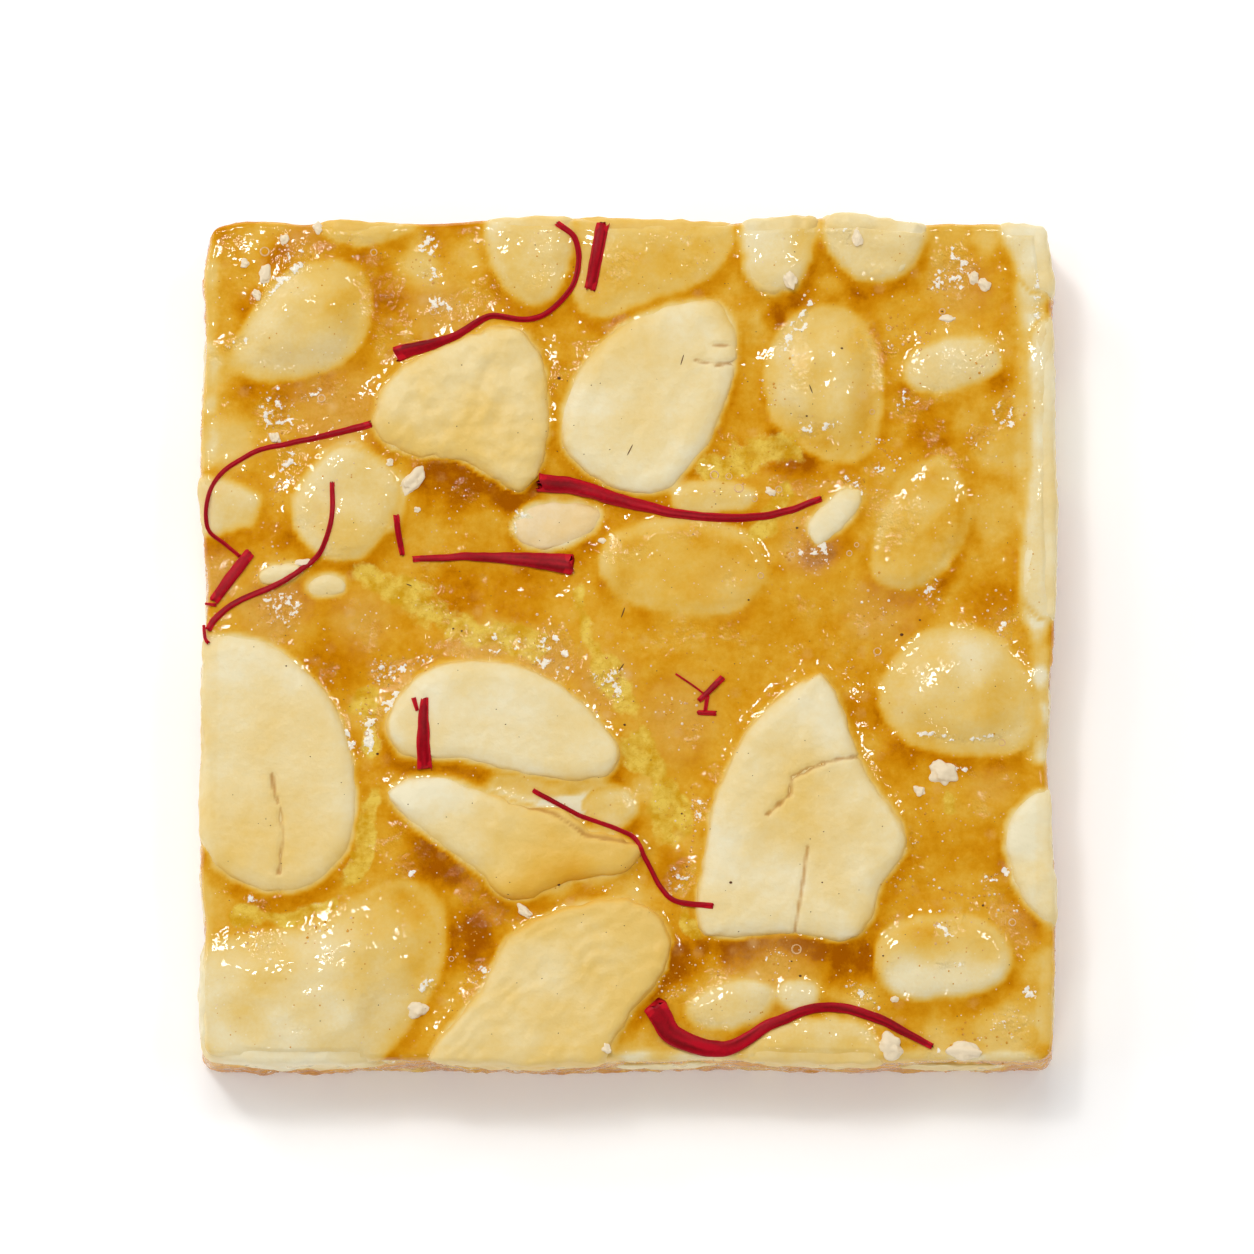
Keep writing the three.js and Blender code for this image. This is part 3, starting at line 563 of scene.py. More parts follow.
down = Vector((0, 0, -1))
grid = TOP_CELLS + 1
top_index = np.flatnonzero(on_top)
column = np.rint((u[top_index] + 1) / 2 * TOP_CELLS).astype(int)
line = np.rint((v[top_index] + 1) / 2 * TOP_CELLS).astype(int)
crown = np.full((grid, grid), -50.0)
owner_at = np.full((grid, grid), -1)
plain, top_x, top_y = np.zeros((3, grid, grid))
plain[line, column] = skin[top_index, 2]
top_x[line, column], top_y[line, column] = skin[top_index, 0], skin[top_index, 1]
for j in range(grid):
    for i in range(grid):
        distance, owner = felt_from((top_x[j, i], top_y[j, i], 20), down)
        if distance is not None:
            crown[j, i] = 20 - distance
            owner_at[j, i] = owner
film = np.where(owner_at >= 0, film_of_kernel[owner_at], 0)
cover = crown + film
surface = np.maximum(plain, cover)


def blurred(values, times):
    for _ in range(times):
        padded = np.pad(values, 1, mode="edge")
        values = (padded[1:-1, :-2] + padded[1:-1, 2:] + padded[:-2, 1:-1] + padded[2:, 1:-1]
                  + 2 * padded[1:-1, 1:-1]) / 6
    return values


def lifted_over(low, high, softness):
    """The higher of two heights, blended where they are close."""
    share = np.clip(0.5 + (high - low) / (2 * softness), 0, 1)
    return low * (1 - share) + high * share + softness * share * (1 - share)


# How often the skin is evened out as it slumps between the kernels, and how far it may rise
# in a narrow band along the rim.
SLUMP = 55
RIM_BAND = 0.9
RIM_RISE = 0.25
slumped = blurred(surface, SLUMP)
surface = blurred(lifted_over(slumped, cover, 0.12), 3)
risen = surface[line, column]
held_down = np.minimum(risen, skin[top_index, 2] + RIM_RISE)
skin[top_index, 2] = np.where(rim_gap[top_index] < RIM_BAND, held_down, risen)

# The knife's cut: bare kernels stand a hair proud of the syrup at the sides. They are felt
# from outside, as deep as a short reach behind it.
OUTSIDE = 3
REACH = 0.35
PROUD = 0.1
before_cut = skin.copy()
for index in np.flatnonzero(on_side):
    out = Vector((*outward[index], 0)).normalized()
    start = Vector(skin[index]) + OUTSIDE * out
    distance, owner = felt_from(start, -out)
    if distance is not None and distance < OUTSIDE + REACH:
        skin[index] = start - (distance + PROUD) * out
skin[on_side] = (before_cut + evened(syrup_mesh, skin - before_cut, 2))[on_side]

# Where the syrup is uneven with burst bubbles and carries painted highlights: x, y, radius and
# the strength of its roughness.
ROUGH_GLINT_SPOTS = [
    (-16.3, 32.8, 1.4, 1), (-16.2, 30, 1.2, 1), (-15.5, 27.5, 1.4, 1), (23, 19.3, 1.3, 1.3),
    (31, 18.2, 1.4, 1.3), (21.8, 24, 0.9, 1.2), (25, 4, 1.1, 1.4), (31, 1, 1.6, 0.8),
    (-29, 18.5, 2.2, 1), (-27.5, 14.8, 1.6, 0.9), (-28.5, 2.5, 2.2, 1), (-20, -3.2, 1.3, 1.2),
    (-8.5, 9.5, 1.5, 1.2), (-1.5, -4.1, 1.5, 1.1), (-12.3, -27.8, 1.2, 1), (-16.1, -28.6, 1, 1),
    (14.3, 26, 0.9, 1.2), (15, 17.4, 1.2, 1), (13, 24.2, 1, 0.9), (27, 30.4, 2.2, 1.1),
    (25.8, 29.4, 1.4, 1), (26, -24.2, 1.4, 0.7), (31.5, -32, 2, 0.7), (33, -29.4, 0.9, 1.1),
    (-6, -1.6, 3, 0.8), (-11, -0.6, 2, 0.7), (4.6, -19.8, 1.6, 0.9), (5.8, -14.5, 1.2, 0.8),
    (20.6, 13.9, 1, 0.9), (15.4, 6.8, 2, 0.9), (-27, 31.6, 1.6, 0.7), (18.4, 33.2, 1.2, 0.8),
    (-18.2, -19.4, 1.2, 0.8), (-29.4, -25.4, 1.6, 0.5), (29, 16.6, 1.4, 0.8), (12, -26.4, 1.2, 0.6),
    (19.3, -29.6, 1, 0.8), (25, -34.3, 1, 0.7), (-21.2, -7, 0.8, 1), (0.4, 4.4, 0.6, 0.6),
]

# Raised strings of burst bubbles along the shoulders of the kernels, which also carry painted
# highlights: half width, then the path.
FROTH_GLINT_LINES = [
    (0.45, [(-30.4, 27.6), (-28.8, 29.4), (-27.2, 30.6), (-26.6, 31.2)]),
    (0.5, [(-17.2, -4), (-19.4, -5.2), (-20.8, -7), (-21.3, -9.4)]),
    (0.4, [(14.2, 17.9), (15.6, 17.2), (17.2, 17.6)]),
    (0.4, [(13.3, 24.6), (14.2, 26), (15, 27.6)]),
    (0.35, [(29.2, -20), (30.4, -19.9), (31.4, -19.2)]), (0.3, [(25.4, -27.2), (27.4, -27.1)]),
    (0.35, [(26.8, -10.7), (27.8, -10.8), (28.5, -11.4)]), (0.3, [(23.3, -16.4), (23.5, -17.4)]),
    (0.3, [(18.6, -28.7), (19.8, -29.8), (20.6, -30.6)]),
    (0.5, [(-2.8, -3.2), (-1.6, -4.3), (-0.8, -5)]),
    (0.3, [(27, 32.4), (27.4, 31), (28, 29.6)]), (0.35, [(-30.4, 19), (-29.2, 19.9), (-28, 19.4)]),
    (0.4, [(-26.8, 19.8), (-25.4, 20.4)]), (0.35, [(-16.9, 22.8), (-15.6, 22.2)]),
    (0.4, [(-23.6, -7.2), (-22.6, -9)]), (0.35, [(34, 30), (33.8, 26)]),
    (0.35, [(-20, -3.6), (-18, -2.4)]),
    (0.3, [(24, -8), (27.6, -8.7), (30.6, -8.4)]), (0.4, [(-33, 24), (-31.6, 24.6)]),
    (0.4, [(-31, -21.6), (-29.6, -22.4)]), (0.35, [(19.4, 12.2), (17.9, 13.1)]),
]


def pool(points, spots):
    """How far each point lies in the round spots, each times its strength."""
    inside = np.zeros(len(points))
    for sx, sy, radius, strength in spots:
        gap = np.hypot(points[:, 0] - sx, points[:, 1] - sy)
        inside = np.maximum(inside, strength * (1 - smooth_step(0.3 * radius, 1.2 * radius, gap)))
    return inside


def over_skin(size, seed):
    """Noise at each point of the syrup, with features of a size in millimetres."""
    return noise_field(skin, size, seed)


near_top = np.clip(1 - (SYRUP_LEVEL - skin[:, 2]) / 2, 0, 1)
wander = 0.9 * over_skin(3, 7) + 0.4 * over_skin(1.1, 8)
shifted = skin[:, :2] + 0.5 * wander[:, None]
# These spots and strings make the syrup uneven and also mark where painted highlights go.
rough = 1.15 * pool(shifted, ROUGH_GLINT_SPOTS)
for width, path in FROTH_GLINT_LINES:
    gap = from_path(skin * MM, path)
    rough = np.maximum(rough, 1.25 * (1 - smooth_step(0.3 * width, 1.6 * width, gap)))
cut_face = smooth_step(0.1, 0.5, 0.4 + over_skin(3.2, 10))
rough = np.where(on_side, 0.5 * cut_face, rough * near_top)
grain = over_skin(0.75, 6)
ripple = 0.13 * over_skin(2.4, 5) + (0.035 + 0.1 * rough) * grain
ripple += on_side * (0.22 * over_skin(1.5, 9) + 0.08 * grain)
set_points(syrup_mesh, skin * MM)
facing = normals_of(syrup_mesh)
skin += facing * np.where(on_base, 0, ripple)[:, None]
set_points(syrup_mesh, skin * MM)

# The colour of the syrup follows what lies in it: cream where a kernel is just under its
# surface, amber where it is deep, brighter yellow in clear veins and tan where it is cloudy.
# Veins are half width and path; pools and patches are x, y, radius and strength.
CLEAR_VEINS = [
    (1.5, [(-22, 5.5), (-18, 3.5), (-15, 1.5), (-12, 0.2), (-7, -0.8)]),
    (0.9, [(-21.3, -5), (-20.8, -9)]),
    (0.9, [(-21, -13), (-21.3, -18), (-24, -22), (-28, -23.2), (-32, -23)]),
    (1.2, [(-4, 3.8), (-3, -0.4), (0, -6)]),
    (1.5, [(1, -9), (2.8, -12.5), (4, -16)]),
    (0.9, [(4.5, -22), (5.4, -24.5)]),
    (1.6, [(7, 13.4), (10, 15), (13, 16)]),
    (1.1, [(11, 8.4), (12.6, 11.6)]),
    (0.8, [(26.2, -13), (26.5, -14.4)]),
]
DEEP_POOLS = [
    (-28.5, 31.5, 2.2, 0.8), (-31.5, 27.3, 1.6, 0.8), (-20, 28, 3, 1), (-14, 3.6, 3.6, 1),
    (-9, 3.4, 3.4, 0.9), (-14, 13, 3.4, 1.2), (-9.6, 12, 2.4, 1.2), (-24, -2.4, 3.4, 0.9),
    (-16, -19, 3, 1.1), (-13.2, -25, 3.4, 1.3), (19.6, 27, 2.8, 0.2), (23, 27.6, 3, 0.2),
    (29.5, 29.5, 2.4, 0.3), (29.6, 3, 2.4, 0.9), (4.6, -26.6, 2.4, 1.4), (26, -17, 3, 0.3),
    (29.6, -18, 2.6, 0.3), (19.6, -6, 2.2, 0.6), (22, -10.4, 2.2, 0.6), (13.4, 15, 3, 1.1),
    (25, 17, 2.4, 0.8), (18.6, -27, 2.6, 1.1), (16, -25.6, 2.6, 0.9), (9, -26, 2.4, 0.8),
    (-22.8, -9, 1.6, 0.8), (30.6, 21, 1.6, 0.8), (12, 26.2, 1.6, 1.2), (-28.6, 8.4, 1.8, 0.8),
    (3.6, -19, 1.8, 0.9), (15.4, 6.7, 1.5, 1.3), (-16, 12.6, 2.4, 1), (14, -25, 1.6, 1),
]
CLOUDY_PATCHES = [
    (-7, -1.8, 3, 1), (-2, -4, 3.4, 0.9), (4, -7, 4, 0.7), (-24, 19, 4.4, 0.9),
    (-15.6, 27.4, 3, 0.8), (-29, 2.4, 3.4, 1), (-4, -23, 2, 0.6), (21, 2, 3.4, 0.8),
    (15, 7, 2.6, 1), (27.6, 29, 3, 0.7), (12, -27.4, 4, 0.8), (-34, 5, 2.4, 1),
    (30, -12.4, 2, 0.5), (-22, 1.2, 3, 0.7), (-12, -0.6, 3, 0.8), (8, 4, 3, 0.3),
    (19, 20, 2, 0.5), (-27, 33.4, 2, 0.6), (32, -24, 2, 0.5),
]
# Faint shreds of kernel deep in the syrup.
PALE_PATCHES = [
    (-17, 30.7, 2.2, 0.4), (-33, 16, 2.6, 0.42), (-33.6, 22, 2, 0.3), (30.4, 10, 2.8, 0.3),
    (30.6, 15, 2.2, 0.3), (31, -32.4, 3.4, 0.4), (25.6, -33, 2.2, 0.3), (1.8, -12.6, 1.8, 0.3),
    (-33.6, -33, 2, 0.3), (6, -34.2, 3, 0.4), (11, 26, 1.6, 0.35), (19, -29.4, 2.2, 0.35),
    (-31.4, 33.4, 2.4, 0.22), (-12.6, 32, 2, 0.2), (16.6, 29, 1.2, 0.2), (26.4, 32.6, 2, 0.15),
    (-18.2, 13.4, 1.4, 0.3), (9, -30, 4, 0.2), (33.6, -9, 1.4, 0.3), (27, 22.4, 5, 0.2),
    (5, 4, 6, 0.12), (0, -21.4, 2.4, 0.3), (23, 10, 5, 0.14), (33.4, -27, 1.6, 0.2),
    (-5.5, -20.2, 1.6, 0.4), (-2, -19.4, 1.6, 0.36), (24, 28, 4, 0.06),
    (33.4, 28.6, 1.8, 0.45), (33.8, 26.6, 1.4, 0.4), (34, 1, 1.3, 0.35), (34, -3, 1.3, 0.4),
    (34, -6.4, 1.3, 0.4), (34.2, -9.6, 1.2, 0.3), (-34.4, 24, 1, 0.25), (-34.6, 19, 1, 0.3),
    (-34.4, 30, 1.4, 0.2), (30.4, 33.6, 2, 0.3), (28, -34.6, 2.4, 0.35), (18, -34.8, 2, 0.3),
    (0, -34.6, 2.4, 0.35), (-14, -34.6, 2, 0.3), (3.4, -24, 1.6, 0.15), (26, -31.4, 3, 0.12),
]
# Pale strips, most of them kernels cut through at the rim: half width, strength and path.
PALE_STRIPS = [
    (1.5, 0.68, [(-10.4, -12.6), (-6.4, -13.4), (-3.4, -12.9), (-1.4, -13.6)]),
    (1, 0.62, [(-6.4, -14.4), (-4, -14.2), (-2.6, -14)]),
    (0.8, 0.55, [(-24.8, 14.9), (-22.8, 15.6), (-20.4, 13.8), (-18.6, 12.1), (-19.6, 9.4)]),
    (1.5, 0.42, [(33.2, 34), (33.3, 29), (33.7, 24), (33.5, 16), (33.8, 9), (33.8, 2)]),
    (1, 0.4, [(33.8, 2), (34.2, -4), (34, -9.6)]),
    (1, 0.3, [(-34.8, 33), (-34.8, 24), (-34.8, 15)]),
    (0.9, 0.4, [(-12, -35), (-4, -34.8), (6, -35), (20, -34.9), (33, -35)]),
    (0.7, 0.3, [(-24, 34.4), (-18, 34.4)]), (0.9, 0.3, [(34.6, -24), (34.4, -33)]),
    (0.8, 0.35, [(-35, -21), (-35, -26)]),
]
# Darker amber seams, given in the same way.
DARK_SEAMS = [
    (0.7, 0.18, [(27.9, 12), (27.3, 6.5), (25, 2), (22.5, 0.2)]),
    (1.2, 0.16, [(13, 5.8), (15.4, 6.2), (17.5, 7.6)]),
    (0.9, 0.14, [(11.6, 26), (14, 27.6), (17, 28.6), (20, 27.4), (21.2, 23.6)]),
    (0.8, 0.12, [(-20, -10.3), (-14, -10.8), (-8, -12.9), (-3, -12.6), (-0.5, -11.8)]),
    (0.8, 0.12, [(6, -25.4), (13, -25.2), (20, -25.6), (20.6, -28)]),
    (1, 0.12, [(3.6, -22.6), (4.4, -26), (3, -29), (1, -31.6)]),
    (0.9, 0.12, [(-14, -20), (-12, -23.4), (-12.6, -27)]),
    (0.7, 0.1, [(-7.6, 12.6), (-7, 17), (-6.3, 20.6), (-5.4, 22.4)]),
    (0.6, 0.1, [(28, 16.4), (23, 15.8), (20.6, 14)]),
]
clear = np.zeros(len(skin))
for width, path in CLEAR_VEINS:
    gap = from_path(skin * MM, path) + wander * 1.1
    clear = np.maximum(clear, 1 - smooth_step(0.2 * width, 1.25 * width, gap))
shifted = skin[:, :2] + 0.8 * wander[:, None]
deep = pool(shifted, DEEP_POOLS) * near_top
cloudy = pool(shifted, CLOUDY_PATCHES) * near_top

# How thick open syrup, and a film of it over a kernel, is where it hides most of what lies
# under it, and how many cells to the front of a piece the darker band of painted shade lies.
SIGHT_DEPTH = 2.8
FILM_DEPTH = 3.6
SHADE_FORWARD = 4
outline_tree, outline_owner = tree_of([frame["nodes"][name].data for name in KERNELS])
under = np.full((grid, grid), -1)
for j in range(grid):
    for i in range(grid):
        spot, _, face, _ = outline_tree.ray_cast(Vector((top_x[j, i], top_y[j, i], 20)) * MM, down)
        if spot is not None and spot.z > 8.6 * MM:
            under[j, i] = outline_owner[face]
over = np.zeros(len(skin))
extra = np.zeros((grid, grid))
for number, node in enumerate(KERNELS):
    mine = under == number
    places = np.stack([top_x[mine], top_y[mine], np.full(mine.sum(), number)], axis=1)
    mottle = noise_field(places, 3, 16)
    depth = soaked(node, top_x[mine], top_y[mine])
    extra[mine] = np.maximum(depth * (1 + 0.6 * mottle) + 0.16 * mottle, 0)
pool_depth = np.clip(surface - crown, 0, 9)
open_syrup = 1 - np.exp(-pool_depth / SIGHT_DEPTH)
over_kernel = 1 - np.exp(-np.minimum(pool_depth, 2) / FILM_DEPTH - extra / SOAK_DEPTH)
within = blurred((under >= 0).astype(float), 9)
thickness = open_syrup + within * (over_kernel - open_syrup)
hidden = (thickness < 0.45).astype(float)
# Painted shade: a darker amber band just in front of each piece that shows. It is partly the deeper
# syrup in the hollow round the piece and partly the shade that the lamp behind leaves there.
front_shade_mask = np.clip(2.2 * blurred(np.roll(hidden, -SHADE_FORWARD, axis=0), 10), 0, 1) * (1 - hidden)
thickness = blurred(thickness, 2)
over[top_index] = thickness[line, column]
front_shade_band = np.zeros(len(skin))
front_shade_band[top_index] = blurred(front_shade_mask, 1)[line, column]
for index in np.flatnonzero(~on_top):
    if on_base[index]:
        inward = -down
    else:
        inward = -Vector((*outward[index], 0)).normalized()
    distance, owner = felt_from(Vector(skin[index]) - 0.6 * inward, inward)
    gap = 9 if distance is None else max(distance - 0.6, 0) + 0.1
    over[index] = 1 - math.exp(-gap / SOAK_DEPTH)
over = np.where(on_side, evened(syrup_mesh, over[:, None], 2)[:, 0], over)

haze = 0.74 + 0.14 * over_skin(5, 12) + 0.06 * over_skin(1.6, 13)
haze += on_side * (0.16 + 0.34 * over_skin(2.6, 14))
amber = np.minimum(over, haze)
loose = smooth_step(0.4, 0.75, over)
# Deep pools add amber, and the band in front of the pieces adds painted shade.
amber += loose * (0.36 * deep + 0.24 * front_shade_band - 0.05 * cloudy)
amber -= loose * pool(shifted, PALE_PATCHES) * near_top
for width, strength, path in PALE_STRIPS:
    gap = from_path(skin * MM, path) + 0.5 * wander
    amber -= loose * strength * (1 - smooth_step(0.5 * width, 1.3 * width, gap)) * near_top
for width, strength, path in DARK_SEAMS:
    gap = from_path(skin * MM, path) + 0.25 * wander
    amber += strength * (1 - smooth_step(0.1 * width, 1.3 * width, gap)) * near_top
set_value(syrup_mesh, "amber", np.clip(amber, 0, 1.25))
side_veins = 0.45 * smooth_step(0.12, 0.34, over_skin(5, 15))
clear = np.where(on_side, side_veins, clear * near_top)
set_value(syrup_mesh, "clear", clear * smooth_step(0.3, 0.6, over))
set_value(syrup_mesh, "cloudy", np.clip(cloudy * smooth_step(0.2, 0.6, over), 0, 1))
set_value(syrup_mesh, "rough", rough)
smooth_shaded(syrup_mesh)

syrup_finish, tree, syrup_skin = new_finish("amber syrup")
clear_here = add_attribute(tree, "clear")
cloudy_here = add_attribute(tree, "cloudy")
rough_and_glint_here = add_attribute(tree, "rough")
amber_here = add_attribute(tree, "amber")
streaks = add_range(tree, add_noise(tree, 1.3 * MM, 5, 0.68), 0.3, 0.7, -0.5, 0.5)
motes = add_range(tree, add_noise(tree, 0.3 * MM, 4, 0.65), 0.3, 0.7, -0.5, 0.5)
swing = add_math(tree, "MULTIPLY", streaks, add_range(tree, amber_here, 0.1, 0.8, 0.05, 0.3))
flecks = add_math(tree, "MULTIPLY", motes, add_range(tree, cloudy_here, 0, 1, 0.05, 0.2))
amount = add_math(tree, "ADD", amber_here, add_math(tree, "ADD", swing, flecks))
colour = add_amber(tree, amount)

milky = add_mix(tree, add_range(tree, motes, -0.4, 0.4), linear(200, 136, 50), linear(228, 176, 98))
colour = add_mix(tree, add_math(tree, "MULTIPLY", cloudy_here, 0.5), colour, milky)

# Clear veins end in a ragged line, and hold darker strings of thick syrup.
ragged = add_range(tree, add_noise(tree, 1.4 * MM, 5, 0.68), 0.3, 0.7, -0.4, 0.4)
vein = add_range(tree, add_math(tree, "ADD", clear_here, ragged), 0.35, 0.75)
glassy = add_range(tree, add_noise(tree, 1.2 * MM, 4, 0.6), 0.38, 0.6)
yellow = add_mix(tree, glassy, linear(212, 160, 26), linear(238, 206, 90))
strings = add_math(tree, "ABSOLUTE", add_range(
    tree, add_noise(tree, 1.1 * MM, 2, 0.5, (1, 1.6, 1)), 0, 1, -1, 1), 0)
yellow = add_mix(tree, add_range(tree, strings, 0.0, 0.03, 0.4, 0), yellow, linear(184, 126, 14))
colour = add_mix(tree, add_math(tree, "MULTIPLY", vein, 0.8), colour, yellow)


def add_cells(tree, size):
    """Cells of a size in metres: the distance from each one's centre, and its random number."""
    place = add_node(tree, "ShaderNodeTexCoord").outputs["Object"]
    cells = add_node(tree, "ShaderNodeTexVoronoi", {"Vector": place, "Scale": 1 / size})
    parts = add_node(tree, "ShaderNodeSeparateColor", {0: cells.outputs["Color"]})
    return cells.outputs["Distance"], parts.outputs[0]


# Small shreds of kernel hang under the surface as pale, soft spots.
more_in_clouds = add_range(tree, cloudy_here, 0, 0.8, 0.35, 1)
distance, number = add_cells(tree, 1.5 * MM)
ragged = add_math(tree, "ADD", distance, add_math(tree, "MULTIPLY", motes, 0.25))
blot = add_range(tree, ragged, 0.12, 0.4, 0.5, 0)
blot = add_math(tree, "MULTIPLY", blot, add_range(tree, number, 0.6, 0.9))
blot = add_math(tree, "MULTIPLY", blot, more_in_clouds)
colour = add_mix(tree, blot, colour, linear(232, 190, 124))

# White flecks where bubbles burst, most of them painted highlights of the lamps. They are thick
# on the uneven spots and rare elsewhere.
torn = add_noise(tree, 0.7 * MM, 3, 0.58)
needed = add_range(tree, rough_and_glint_here, 0, 1, 0.76, 0.54)
froth_and_glint = add_range(tree, add_math(tree, "SUBTRACT", torn, needed), 0, 0.03, 0, 0.9)
# Painted highlights: small white sparkles scattered over the syrup, more of them in the clouds.
distance, number = add_cells(tree, 0.62 * MM)
sparkle_dot = add_range(tree, distance, 0.09, 0.15, 0.7, 0)
sparkle_dot = add_math(tree, "MULTIPLY", sparkle_dot, add_range(tree, number, 0.62, 0.66))
sparkle_dot = add_math(tree, "MULTIPLY", sparkle_dot, more_in_clouds)
froth_and_glint = add_math(tree, "MAXIMUM", froth_and_glint, sparkle_dot)
# The flecks are painted highlights mixed into the colour.
colour = add_mix(tree, froth_and_glint, colour, linear(255, 248, 232))
tree.links.new(colour, syrup_skin.inputs["Base Color"])

low = add_bump(tree, add_noise(tree, 0.8 * MM, 1, 0.5), 0.2, 0.4)
lumpy = add_range(tree, add_noise(tree, 4 * MM, 2, 0.5), 0.52, 0.7, 0, 0.5)
strength = add_math(tree, "MAXIMUM", lumpy, add_range(tree, rough_and_glint_here, 0.1, 1, 0, 0.9))
flaws = add_node(tree, "ShaderNodeBump", {"Height": torn, "Distance": 0.5 * MM, "Normal": low,
                                          "Strength": strength}).outputs[0]
tree.links.new(flaws, syrup_skin.inputs["Normal"])
syrup_skin.inputs["Roughness"].default_value = 0.07
syrup_skin.inputs["IOR"].default_value = 1.48
add_piece("syrup", syrup_mesh, syrup_finish, "syrup", "brittle")

# ---- Bubbles -----------------------------------------------------------------------------
# Air that the boiled syrup caught, set as beads at its surface, singly, in rows and in
# clusters. They are round shells half sunk in the syrup, all in one mesh.

# Where bubbles crowd: x, y, radius and how many.
BUBBLE_CLUSTERS = [
    (22.4, 25.4, 1.6, 26), (24, 24.8, 1.4, 14), (26.2, 29.2, 1.8, 30), (29.4, 22.6, 1.4, 12),
    (21, 15.9, 1.6, 26), (22.4, 14.6, 1, 10), (18, 12.4, 1.6, 14), (31.8, 20.4, 0.8, 8),
    (32.6, 18.6, 0.7, 8), (28.6, 16.6, 1.4, 10), (22.4, -20.6, 1.4, 18), (31.6, -22.6, 1.2, 14),
    (27, -22, 2, 14), (25.4, -24, 1.4, 14), (31, -33, 2, 20), (28, -32.6, 1.8, 12),
    (3.4, -28.6, 1.6, 34), (6, -27, 1.6, 22), (-12.4, -28, 1.2, 22), (-13.4, -25, 2, 26),
    (-28.4, 2.4, 1.8, 46), (-28.8, 5.9, 1.6, 16), (-19.8, -2.8, 1.5, 46), (-16.4, -1.9, 1.4, 16),
    (-21.4, -7, 0.9, 16), (-28.6, 12, 1.4, 20), (-29, 17.8, 1.8, 26), (-20, 19.6, 2, 20),
    (-14.4, 11.6, 2, 18), (-7, -1.4, 3, 40), (-1.4, -4.4, 2, 34), (4, -6, 3, 26),
    (14, 7.2, 2, 30), (21, 2.2, 2, 26), (25, 3.4, 1.2, 16), (5.6, -15, 1.4, 20),
    (4.4, -20, 1.2, 18), (12.4, -26.4, 2, 22), (18.2, -28.8, 1.2, 12), (-27.6, 31.4, 1.6, 18),
    (-16, 30, 1.6, 20), (24.5, -14.6, 2, 14), (30.6, 2, 1.8, 14), (19, -3, 2, 16),
    (8.6, 14, 2, 18), (-9.4, 14.6, 1.4, 12), (13.4, 22.6, 1, 8), (12.2, 20.4, 1.4, 12),
    (-24.4, -24.4, 2, 16), (-31, -24, 1.4, 12), (-14.6, -17, 1.4, 14), (-25, -3.4, 1.2, 12),
]
BUBBLE_ROWS = [
    [(24.8, -20.3), (26, -21), (28, -21.5), (31, -21.2)], [(15, 28.8), (14, 27.2)],
    [(-21.8, -6.4), (-21.2, -4.2), (-19.4, -2.2)], [(5.4, -12.6), (5.6, -16), (4.8, -20.4)],
    [(-17.6, -2.2), (-15.2, -1.2)],
]
LONE_BUBBLES = 1500
SIDE_BUBBLES = 900
SINK = 0.45
# Burst bubbles leave a raised ring: x, y and radius.
RINGS = [
    (7.2, 13.4, 0.34), (8.4, 13.3, 0.26), (9.2, 12.3, 0.36), (10.5, 11.4, 0.22),
    (12.5, 12.2, 0.26), (13.9, -25.8, 0.38), (20.6, -1.2, 0.3), (21.6, 25.6, 0.2),
    (26, 27, 0.24), (31.6, -23.6, 0.28), (18.3, 6.9, 0.22), (18.9, 7.6, 0.18),
    (13.6, 6.8, 0.2), (11, 5, 0.24), (20.2, 18.6, 0.2), (-29.9, 32, 0.36),
    (-20.9, 31.9, 0.26), (-28.6, 12.6, 0.28), (-27.8, 13.2, 0.22), (-16, 27, 0.28),
    (-25.2, 19.8, 0.3), (-21.4, -8, 0.2), (-19.2, -2.6, 0.24), (-14.4, -26.6, 0.2),
    (30.8, -8.8, 0.26),
]

dice = random.Random(20)
whole_syrup = tree_of([syrup_mesh])[0]
beads = []
for bx, by, radius, count in BUBBLE_CLUSTERS:
    for _ in range(count):
        size = dice.choice((0.06, 0.07, 0.08, 0.09, 0.11, 0.14))
        beads.append((dice.gauss(bx, radius / 2), dice.gauss(by, radius / 2), size))
for path in BUBBLE_ROWS:
    for (ax, ay), (bx, by) in zip(path, path[1:]):
        steps = int(math.hypot(bx - ax, by - ay) / 0.42)
        for step in range(steps):
            share = step / steps
            spot_x = ax + (bx - ax) * share + dice.gauss(0, 0.06)
            spot_y = ay + (by - ay) * share + dice.gauss(0, 0.06)
            beads.append((spot_x, spot_y, dice.uniform(0.08, 0.15)))
for _ in range(LONE_BUBBLES):
    beads.append((dice.uniform(-34, 34), dice.uniform(-34, 34), dice.uniform(0.04, 0.09)))


def shape_of(bm):
    """The points and faces of a shape, which is then let go."""
    bmesh.ops.recalc_face_normals(bm, faces=bm.faces)
    bm.verts.index_update()
    points = np.array([vert.co[:] for vert in bm.verts])
    faces = [[vert.index for vert in face.verts] for face in bm.faces]
    bm.free()
    return points, faces


ball = bmesh.new()
bmesh.ops.create_uvsphere(ball, u_segments=8, v_segments=5, radius=1)
ball_points, ball_faces = shape_of(ball)
ring = bmesh.new()
bmesh.ops.create_circle(ring, segments=5, radius=0.2)
bmesh.ops.rotate(ring, verts=ring.verts, matrix=Matrix.Rotation(math.pi / 2, 3, "X"))
bmesh.ops.translate(ring, verts=ring.verts, vec=(1, 0, 0))
bmesh.ops.spin(ring, geom=ring.verts[:] + ring.edges[:], axis=(0, 0, 1), cent=(0, 0, 0),
               angle=2 * math.pi, steps=12, use_merge=True)
ring_points, ring_faces = shape_of(ring)


def joined_mesh(name, parts):
    """One mesh from several lists of points and faces."""
    points, faces = [], []
    for part_points, part_faces in parts:
        start = len(points)
        points.extend(part_points)
        faces.extend([[start + vert for vert in face] for face in part_faces])
    mesh = bpy.data.meshes.new(name)
    mesh.from_pydata(points, [], faces)
    smooth_shaded(mesh)
    return mesh


